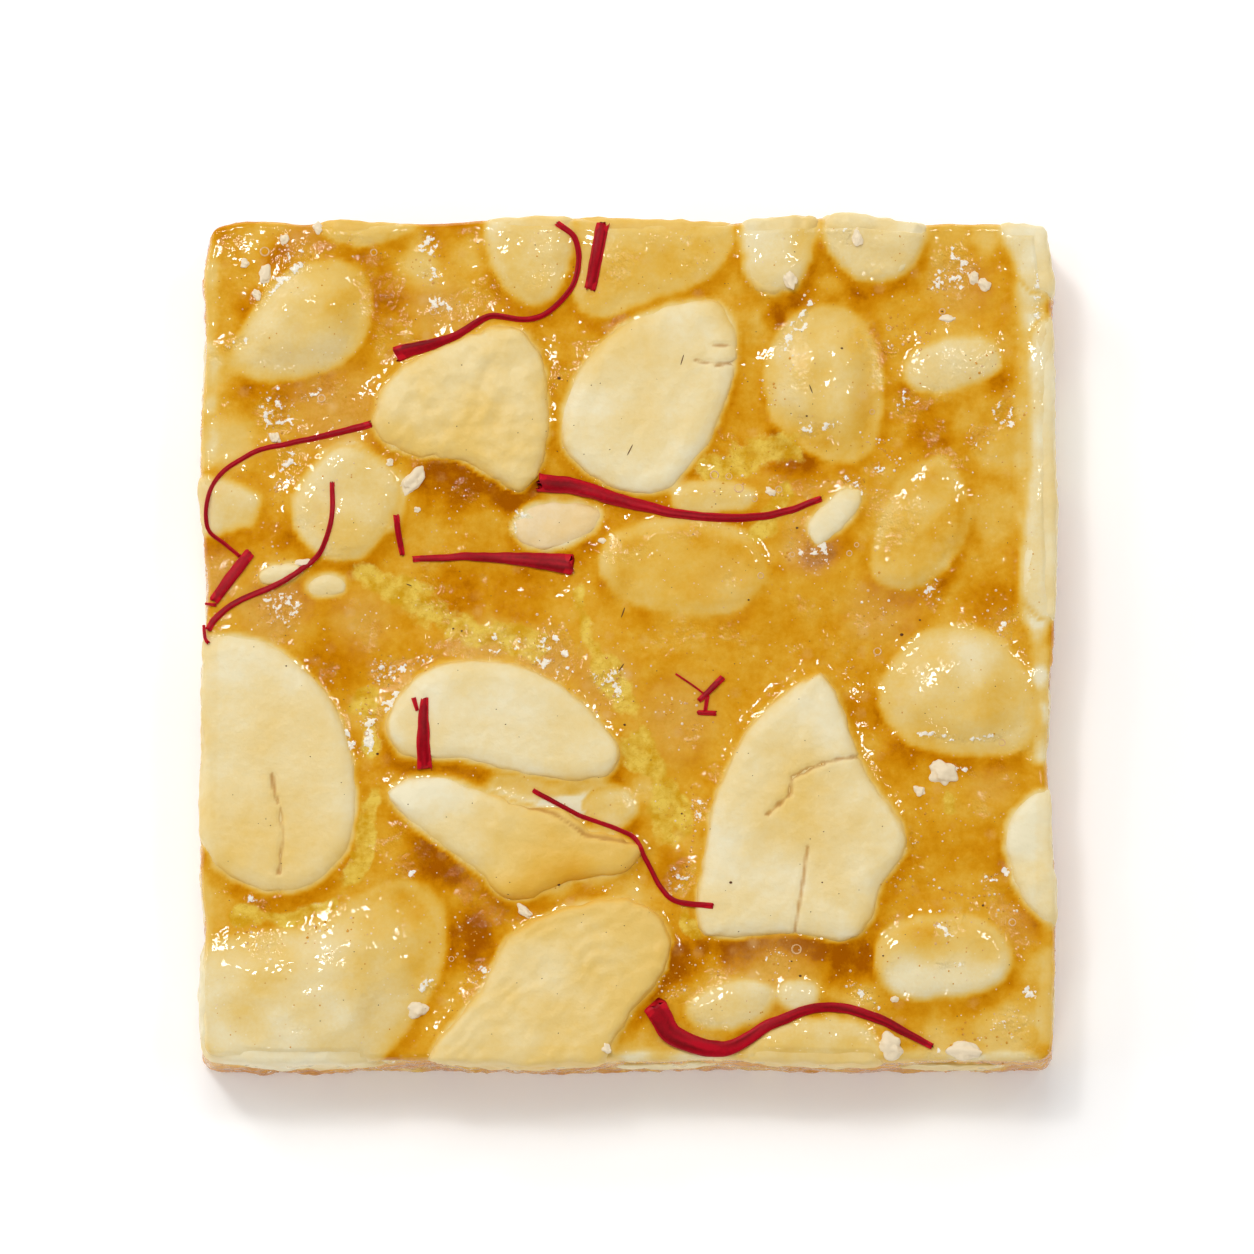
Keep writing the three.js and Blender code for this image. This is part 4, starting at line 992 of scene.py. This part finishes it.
def on_syrup(x, y):
    """The place on the syrup's top in metres and the way it faces, or none over a bare piece."""
    above = Vector((x, y, 20)) * MM
    spot, facing, _, distance = whole_syrup.ray_cast(above, down)
    nut = kernel_tree.ray_cast(above, down)[3]
    if spot is None or (nut is not None and nut < distance):
        return None, None
    return spot, facing


shells, sparkle_tones = [], []


def add_bubble(spot, way, size, tone):
    """A bubble half sunk in the surface at a spot that faces one way."""
    centre = np.array(spot - SINK * size * MM * way)
    shells.append(((ball_points * size * MM + centre).tolist(), ball_faces))
    sparkle_tones.extend([tone] * len(ball_points))


for bx, by, size in beads:
    # Most bubbles keep the syrup's amber; a few are painted near white as a painted sparkle.
    tone = dice.random() ** 3
    spot, way = on_syrup(bx, by)
    if spot is not None and max(abs(bx), abs(by)) < 34.3:
        add_bubble(spot, way, size, tone)
for bx, by, size in RINGS:
    spot, way = on_syrup(bx, by)
    if spot is not None:
        turn = np.array(way.to_track_quat("Z", "Y").to_matrix())
        turned = (ring_points * size * MM) @ turn.T
        centre = np.array(spot - 0.06 * size * MM * way)
        shells.append(((turned + centre).tolist(), ring_faces))
        sparkle_tones.extend([0.3] * len(ring_points))
# The cut sides have bubbles too.
ways = [Vector((1, 0, 0)), Vector((-1, 0, 0)), Vector((0, 1, 0)), Vector((0, -1, 0))]
for _ in range(SIDE_BUBBLES):
    way = dice.choice(ways)
    across = Vector((way.y, way.x, 0)) * dice.uniform(-33, 33)
    start = (40 * way + across + Vector((0, 0, dice.uniform(0.6, 9.4)))) * MM
    size, tone = dice.uniform(0.05, 0.13), dice.random() ** 2
    spot, _, _, distance = whole_syrup.ray_cast(start, -way)
    nut = kernel_tree.ray_cast(start, -way)[3]
    if spot is not None and (nut is None or nut > distance):
        add_bubble(spot, way, size, tone)
bubble_mesh = joined_mesh("bubbles", shells)
set_value(bubble_mesh, "tone", sparkle_tones)
bubble_finish, tree, bubble_skin = new_finish("syrup bubble")
# Bubbles run from amber to near white, and the white ones are painted highlights.
colour = add_mix(tree, add_attribute(tree, "tone"), linear(214, 150, 46), linear(255, 244, 222))
tree.links.new(colour, bubble_skin.inputs["Base Color"])
bubble_skin.inputs["Roughness"].default_value = 0.06
bubble_skin.inputs["IOR"].default_value = 1.5
add_piece("bubbles", bubble_mesh, bubble_finish, "syrup")

# ---- Crumbs and specks -------------------------------------------------------------------
# Crumbs of cashew that fell on the warm syrup and stuck, and dark specks and hairs of the
# kernels' brown skin. Each crumb is a ball hacked flat and rough.

# Each crumb's x, y, width and depth.
CRUMBS = [
    (-29.8, 30, 1, 1.5), (-31.5, 31, 0.8, 0.7), (-30.5, 28.4, 0.7, 0.9), (-25.5, 33.9, 1, 0.7),
    (-28.3, 33, 0.8, 0.8), (-29, 16.5, 1, 0.8), (29.5, 29.2, 0.9, 1.1), (-8.3, -22.8, 1.7, 0.8),
    (25.9, -11.3, 1.8, 2.2), (24, -12.8, 1, 0.8), (21.5, -33.8, 1.9, 2.1), (27.7, -34.1, 2.6, 1.5),
    (-17.2, -30.8, 1.3, 1.8), (-26.6, 6.1, 1.8, 0.8), (19, 33, 1.4, 0.9), (13.4, 29.6, 1, 1.6),
    (-1.7, -34, 0.9, 0.7), (22, -29.9, 0.7, 0.5), (11.8, 12, 0.9, 0.6),
    (-17.6, 12.9, 2.4, 1.3), (-19.5, 14.4, 0.6, 0.6),
    (-17.3, 10.5, 0.5, 0.5), (-2, 7.9, 0.8, 0.5), (28.6, 29.8, 1, 0.8), (26.4, 26.4, 1.2, 0.6),
]


lump = bmesh.new()
bmesh.ops.create_icosphere(lump, subdivisions=4, radius=1)
lump_points, lump_faces = shape_of(lump)


def crumb_shape(x, y, wide, deep, seed):
    spot, way = on_syrup(x, y)
    if spot is None:
        spot, way = kernel_tree.ray_cast(Vector((x, y, 20)) * MM, down)[:2]
    points = []
    for point in lump_points:
        size = 1 + 0.5 * noise.noise(Vector(point) * 1.2 + Vector((seed, 0, 0)))
        size += 0.14 * noise.noise(Vector(point) * 2.6 + Vector((0, seed, 0)))
        size += 0.04 * noise.noise(Vector(point) * 8 + Vector((0, 0, seed)))
        points.append(point * size * (wide / 2, deep / 2, 0.26 * min(wide, deep)) * MM)
    turn = np.array(Matrix.Rotation(seed * 1.7, 3, "Z"))
    return (np.array(points) @ turn.T + np.array(spot)).tolist(), lump_faces


crumb_parts = [crumb_shape(*crumb, seed) for seed, crumb in enumerate(CRUMBS)]
crumb_mesh = joined_mesh("crumbs", crumb_parts)
set_value(crumb_mesh, "amber", np.full(len(crumb_mesh.vertices), -0.05))
set_value(crumb_mesh, "crack", np.zeros(len(crumb_mesh.vertices)))
add_piece("crumbs", crumb_mesh, pinkish_skin, "cashew")

# Each speck's x, y and radius, and the two ends of each hair.
SPECKS = [
    (-5.6, 21.4, 0.16), (8.5, -20.4, 0.14), (-5.6, -20.5, 0.14), (14.2, -28, 0.13), (10, 3, 0.1),
    (-0.2, -7.3, 0.12), (17.7, 23.8, 0.12), (14.8, 18.2, 0.1), (29.2, -22.2, 0.12), (14, 9, 0.12),
    (-20.5, -9.7, 0.13), (4.5, -14.6, 0.1), (4.9, -19, 0.09), (-14.3, 0.7, 0.1), (-13.6, 0.5, 0.1),
    (21, -26.4, 0.1), (26, 27, 0.1), (13.5, -26.8, 0.08), (22.6, 0.2, 0.16), (24.1, 1.4, 0.1),
    (-28, -2.5, 0.08), (11.7, 9.8, 0.1), (16, -20.4, 0.08),
]
HAIRS = [
    [(4.4, 22.4), (4.7, 23.4)], [(0, 14.9), (0.5, 15.9)], [(-0.5, 1.5), (-0.1, 2.6)],
    [(-0.7, -2.9), (-0.2, -2.2)], [(15, 20.8), (15.3, 20)], [(-18.2, 4.4), (-17.7, 4.2)],
]


def on_pieces(x, y):
    """The highest place in metres of the kernels or the syrup, at most at the slab's rim."""
    above = Vector((max(-34, min(34, x)), max(-34, min(34, y)), 20)) * MM
    found = [tree.ray_cast(above, down)[0] for tree in (whole_syrup, kernel_tree)]
    return max((spot for spot in found if spot is not None), key=lambda spot: spot.z)


dark = []
scattered = [(dice.uniform(-33, 33), dice.uniform(-33, 33), dice.uniform(0.03, 0.06))
             for _ in range(260)]
for sx, sy, size in SPECKS + scattered:
    flat = ball_points * (size, size * 0.8, size * 0.5) * MM
    dark.append(((flat + np.array(on_pieces(sx, sy))).tolist(), ball_faces))
for (ax, ay), (bx, by) in HAIRS:
    along = math.atan2(by - ay, bx - ax)
    long = ball_points * (math.hypot(bx - ax, by - ay) / 2, 0.05, 0.04) * MM
    turned = long @ np.array(Matrix.Rotation(along, 3, "Z")).T
    dark.append(((turned + np.array(on_pieces((ax + bx) / 2, (ay + by) / 2))).tolist(), ball_faces))
speck_finish, tree, speck_skin = new_finish("brown skin")
speck_skin.inputs["Base Color"].default_value = (*linear(92, 50, 18), 1)
speck_skin.inputs["Roughness"].default_value = 0.6
add_piece("specks", joined_mesh("specks", dark), speck_finish, "cashew")

# ---- Saffron threads ---------------------------------------------------------------------
# Dried stigmas of saffron, crimson and brittle, each a flattened, ribbed thread that widens
# to a frayed trumpet end. They are laid on last and stick to the syrup.

# Each thread's path, and its widths from start to end.
THREADS = {
    "back_curl": ([(-5.8, 34.3), (-4.3, 33), (-4.1, 30.3), (-5.6, 27.7), (-8.2, 26.3),
                   (-11.3, 26.6), (-14.5, 24.8), (-19, 23.5)], [0.5, 0.45, 0.45, 0.5, 0.7, 1.3]),
    "back_short": ([(-2, 34.3), (-2.6, 31.2), (-3.1, 28.8)], [1.05, 1, 0.95]),
    "left_arc": ([(-21.1, 17.6), (-26, 16.4), (-30.5, 15.4), (-33.5, 13.4), (-34.6, 11),
                  (-34.4, 8.8), (-33, 7.6), (-31.9, 6.6)], [0.6, 0.45, 0.4, 0.35, 0.3]),
    "left_loop": ([(-24.25, 12.7), (-24.3, 9.6), (-25.5, 6.6), (-28.5, 4.4), (-31.7, 3),
                   (-33.8, 1.5), (-34.4, 0.5)], [0.4, 0.4, 0.45, 0.5, 0.55]),
    "left_broad": ([(-31, 6.9), (-32.6, 4.8), (-34, 2.9)], [0.9, 0.95, 0.8]),
    "left_dash": ([(-19, 10), (-18.8, 8.4), (-18.5, 6.8)], [0.5, 0.48, 0.42]),
    "middle_bar": ([(-17.6, 6.4), (-13, 6.6), (-9, 6.4), (-4.6, 5.9)],
                   [0.5, 0.6, 0.8, 1.2, 1.7]),
    "long_sweep": ([(-7.3, 12.7), (-4, 12.3), (0, 11.1), (5, 10), (10, 9.8), (13.2, 10.4),
                    (16, 11.4)], [1.5, 1.1, 0.75, 0.65, 0.5]),
    "on_half": ([(-16.6, -5.2), (-16.75, -8), (-16.6, -11)], [0.6, 1, 1.2]),
    "step_curve": ([(-7.7, -12.7), (-4, -14.7), (0.3, -16.4), (1.6, -18.5), (3.6, -21.6),
                    (7, -22.3)], [0.4, 0.36, 0.4, 0.5]),
    "scrap": ([(7.9, -3.4), (6.9, -4.4), (5.9, -5.3)], [0.55, 0.5, 0.4]),
    "front_wave": ([(2.3, -30.5), (4, -33), (8, -34), (12, -31.9), (16, -30.6), (20, -31.3),
                    (25, -33.8)], [1.9, 1.4, 0.95, 0.75, 0.8, 0.5]),
}
# Short broken bits that lie on or by a thread.
BITS = {
    "on_half": [([(-17.5, -5.2), (-17.2, -6.2)], [0.4, 0.3])],
    "left_broad": [([(-34.7, 2.7), (-33.8, 2.6)], [0.2, 0.3])],
    "left_loop": [([(-34.8, 0.9), (-34.7, -0.2), (-34.4, -0.6)], [0.25, 0.3])],
    "scrap": [([(4, -3.1), (5.2, -3.9), (6.3, -4.7)], [0.16, 0.16]),
              ([(6.6, -4.9), (6.4, -6.2)], [0.36, 0.3]),
              ([(5.8, -6.3), (7.3, -6.4)], [0.42, 0.42])],
}
RIBS = 16
STEP = 0.22


def along_curve(path, step):
    """Points at even steps of a smooth curve through the path."""
    path = [np.array(point, dtype=float) for point in path]
    path = [2 * path[0] - path[1], *path, 2 * path[-1] - path[-2]]
    fine = []
    for a, b, c, d in zip(path, path[1:], path[2:], path[3:]):
        for t in np.linspace(0, 1, 24, endpoint=False):
            fine.append(0.5 * (2 * b + (c - a) * t + (2 * a - 5 * b + 4 * c - d) * t * t
                               + (3 * b - a - 3 * c + d) * t ** 3))
    fine.append(path[-2])
    fine = np.array(fine)
    run = np.concatenate([[0], np.cumsum(np.linalg.norm(np.diff(fine, axis=0), axis=1))])
    count = max(4, int(run[-1] / step))
    places = np.linspace(0, run[-1], count)
    return np.column_stack([np.interp(places, run, fine[:, axis]) for axis in (0, 1)])


def thread_shape(path, widths, seed):
    """The points and faces of one thread, and each point's nearness to its edge and stripe."""
    line = along_curve(path, STEP)
    wobble = np.array([[noise.noise(Vector((k * 0.13, seed + axis, 2))) for axis in (0, 1)]
                       for k in range(len(line))])
    line = line + 0.07 * wobble
    tangent = np.gradient(line, axis=0)
    tangent /= np.linalg.norm(tangent, axis=1)[:, None]
    across = np.column_stack([-tangent[:, 1], tangent[:, 0]])
    width = np.interp(np.linspace(0, 1, len(line)), np.linspace(0, 1, len(widths)), widths)
    seat = []
    for place, side, wide in zip(line, across, width):
        felt = [on_pieces(*(place + side * wide * share)).z / MM for share in (-0.4, 0, 0.4)]
        seat.append(max(felt))
    seat = np.maximum(np.convolve(np.pad(seat, 4, mode="edge"), np.ones(9) / 9, "valid"),
                      np.array(seat) - 0.05)
    # A straight tube, closed at both ends, with one ring of points for each place on the line.
    last = len(line) - 1
    tube = bmesh.new()
    bmesh.ops.create_cone(tube, cap_ends=True, segments=RIBS, radius1=1, radius2=1, depth=last)
    lengthwise = [edge for edge in tube.edges if abs(edge.verts[0].co.z - edge.verts[1].co.z) > 1]
    bmesh.ops.subdivide_edges(tube, edges=lengthwise, cuts=last - 1)
    straight, faces = shape_of(tube)
    points, edges, stripes = [], [], []
    for tube_x, tube_y, tube_z in straight:
        k = round(tube_z + last / 2)
        turn = math.atan2(tube_y, tube_x) % (2 * math.pi)
        rib = round(turn / (2 * math.pi) * RIBS) % RIBS
        turn = 2 * math.pi * rib / RIBS
        wide, end = width[k], min(k, last - k)
        thick = 0.14 + 0.14 * wide
        twist = 0.5 * noise.noise(Vector((k * 0.05, seed, 7)))
        ridge = 1 + 0.14 * math.cos(3 * turn + seed) + 0.1 * noise.noise(
            Vector((k * 0.25, rib * 1.7, seed)))
        off = 0.5 * wide * math.cos(turn) * ridge
        rise = 0.5 * thick * math.sin(turn) * ridge + twist * off * 0.25
        ragged = 0
        if end < 2:
            jag = noise.noise(Vector((rib * 0.9, seed * 2.3, 1 if k < 2 else 5)))
            ragged = (0.32 * wide + 0.06) * jag * (1 if end == 0 else 0.4)
            ragged *= -1 if k < 2 else 1
        spot = line[k] + across[k] * off + tangent[k] * ragged
        points.append((spot[0] * MM, spot[1] * MM, (seat[k] + 0.35 * thick + rise) * MM))
        edges.append(abs(math.cos(turn)) + 0.5 * (end < 3))
        stripes.append(0.5 + noise.noise(Vector((k * 0.06, rib * 2.3, seed + 9))))
    return points, faces, edges, stripes


saffron_finish, tree, thread_skin = new_finish("saffron")
fibre = add_range(tree, add_noise(tree, 0.3 * MM, 3, 0.65), 0.3, 0.7, -0.2, 0.2)
streak = add_math(tree, "ADD", add_attribute(tree, "stripe"), fibre)
dark_red = add_mix(tree, streak, linear(122, 0, 10), linear(182, 2, 28))
rim_red = add_range(tree, add_attribute(tree, "edge"), 0.75, 1.05, 0, 0.7)
colour = add_mix(tree, rim_red, dark_red, linear(208, 18, 34))
tree.links.new(colour, thread_skin.inputs["Base Color"])
thread_skin.inputs["Roughness"].default_value = 0.45
thread_skin.inputs["Specular IOR Level"].default_value = 0.25
for seed, (name, (path, widths)) in enumerate(THREADS.items()):
    parts = [thread_shape(path, widths, seed)]
    parts += [thread_shape(*bit, seed + 20 + k) for k, bit in enumerate(BITS.get(name, []))]
    mesh = joined_mesh("thread_" + name, [part[:2] for part in parts])
    set_value(mesh, "edge", [value for part in parts for value in part[2]])
    set_value(mesh, "stripe", [value for part in parts for value in part[3]])
    add_piece("thread_" + name, mesh, saffron_finish, "saffron", "saffron_" + name)

# ---- Floor, light and camera -------------------------------------------------------------
# A plain white table under a wide soft lamp behind the sweet, with weaker lamps on every
# side. Nothing bright hangs straight above, so the syrup shows its own colour.

bm = bmesh.new()
bmesh.ops.create_grid(bm, x_segments=2, y_segments=2, size=3)
floor_mesh = bpy.data.meshes.new("floor")
bm.to_mesh(floor_mesh)
bm.free()
floor_finish, tree, floor_skin = new_finish("white table")
floor_skin.inputs["Base Color"].default_value = (0.93, 0.93, 0.93, 1)
floor_skin.inputs["Roughness"].default_value = 0.9
floor_skin.inputs["Specular IOR Level"].default_value = 0.1
floor_skin.inputs["Emission Color"].default_value = (1, 1, 1, 1)
floor_skin.inputs["Emission Strength"].default_value = 0.2
floor_mesh.materials.append(floor_finish)
floor = bpy.data.objects.new("floor", floor_mesh)
bpy.context.scene.collection.objects.link(floor)

scene = bpy.context.scene
scene.view_settings.view_transform = "Standard"
sky = bpy.data.worlds.new("studio")
scene.world = sky
sky.use_nodes = True
sky.node_tree.nodes["Background"].inputs["Color"].default_value = (1, 1, 1, 1)
sky.node_tree.nodes["Background"].inputs["Strength"].default_value = 1
sky.cycles_visibility.diffuse = False
sky.cycles_visibility.glossy = False


def add_lamp(name, place, size, power, glints):
    """A lamp aimed at the sweet; only a lamp with glints is mirrored in its surface."""
    lamp = bpy.data.lights.new(name, "AREA")
    lamp.shape = "RECTANGLE"
    lamp.size, lamp.size_y = size
    lamp.energy = power
    made = bpy.data.objects.new(name, lamp)
    made.location = place
    made.rotation_euler = (Vector((0, 0, 0.01)) - Vector(place)).to_track_quat("-Z", "Y").to_euler()
    made.visible_glossy = glints
    made.visible_camera = False
    scene.collection.objects.link(made)


# Soft lamps that light the sweet but don't show in it: name, place, size and power.
SOFT_LAMPS = [
    ("lamp above", (-0.12, 0.34, 0.86), (0.45, 0.35), 2.95),
    ("lamp left", (-0.75, 0.05, 0.5), (0.5, 0.3), 1.65),
    ("lamp right", (0.75, 0.05, 0.5), (0.5, 0.3), 1.4),
    ("lamp front", (0, -0.8, 0.45), (0.6, 0.3), 1.4),
    ("lamp far", (0, 0.85, 0.36), (0.6, 0.2), 1.2),
]
# Small lamps that make the glints, and low white walls of light that keep the top bright
# where it is seen at a flat angle.
MIRRORED_LAMPS = [
    ("small lamp left", (-0.24, 0.36, 0.92), (0.12, 0.09), 1.2),
    ("low lamp left", (-0.46, 0.58, 0.7), (0.16, 0.12), 1.2),
    ("small lamp right", (0.34, 0.3, 0.88), (0.09, 0.07), 0.6),
    ("small lamp front", (-0.16, -0.62, 0.75), (0.08, 0.06), 0.4),
    ("side lamp right", (0.75, -0.3, 0.2), (0.12, 0.06), 0.3),
    ("side lamp left", (-0.75, 0.3, 0.2), (0.12, 0.06), 0.3),
    ("side lamp far", (0.3, 0.75, 0.2), (0.12, 0.06), 0.3),
    ("side lamp near", (-0.3, -0.75, 0.2), (0.12, 0.06), 0.3),
    ("wall right", (2.2, 0, 0.28), (4, 0.52), 5.5),
    ("wall left", (-2.2, 0, 0.28), (4, 0.52), 5.5),
    ("wall far", (0, 2.2, 0.28), (4, 0.52), 5.5),
    ("wall near", (0, -2.2, 0.28), (4, 0.52), 5.5),
]
for lamp in SOFT_LAMPS:
    add_lamp(*lamp, False)
for lamp in MIRRORED_LAMPS:
    add_lamp(*lamp, True)

CAMERA_TILT = math.radians(6.6)
CAMERA_DISTANCE = 1.0
PICTURE_WIDTH = 103.15 * MM
AIM = Vector((0, 0.8 * MM, SYRUP_LEVEL * MM))
camera_data = bpy.data.cameras.new("camera")
camera_data.sensor_width = 36
camera_data.lens = camera_data.sensor_width * CAMERA_DISTANCE / PICTURE_WIDTH
camera = bpy.data.objects.new("camera", camera_data)
camera.location = AIM + CAMERA_DISTANCE * Vector((0, -math.sin(CAMERA_TILT), math.cos(CAMERA_TILT)))
camera.rotation_euler = (CAMERA_TILT, 0, 0)
scene.collection.objects.link(camera)
scene.camera = camera
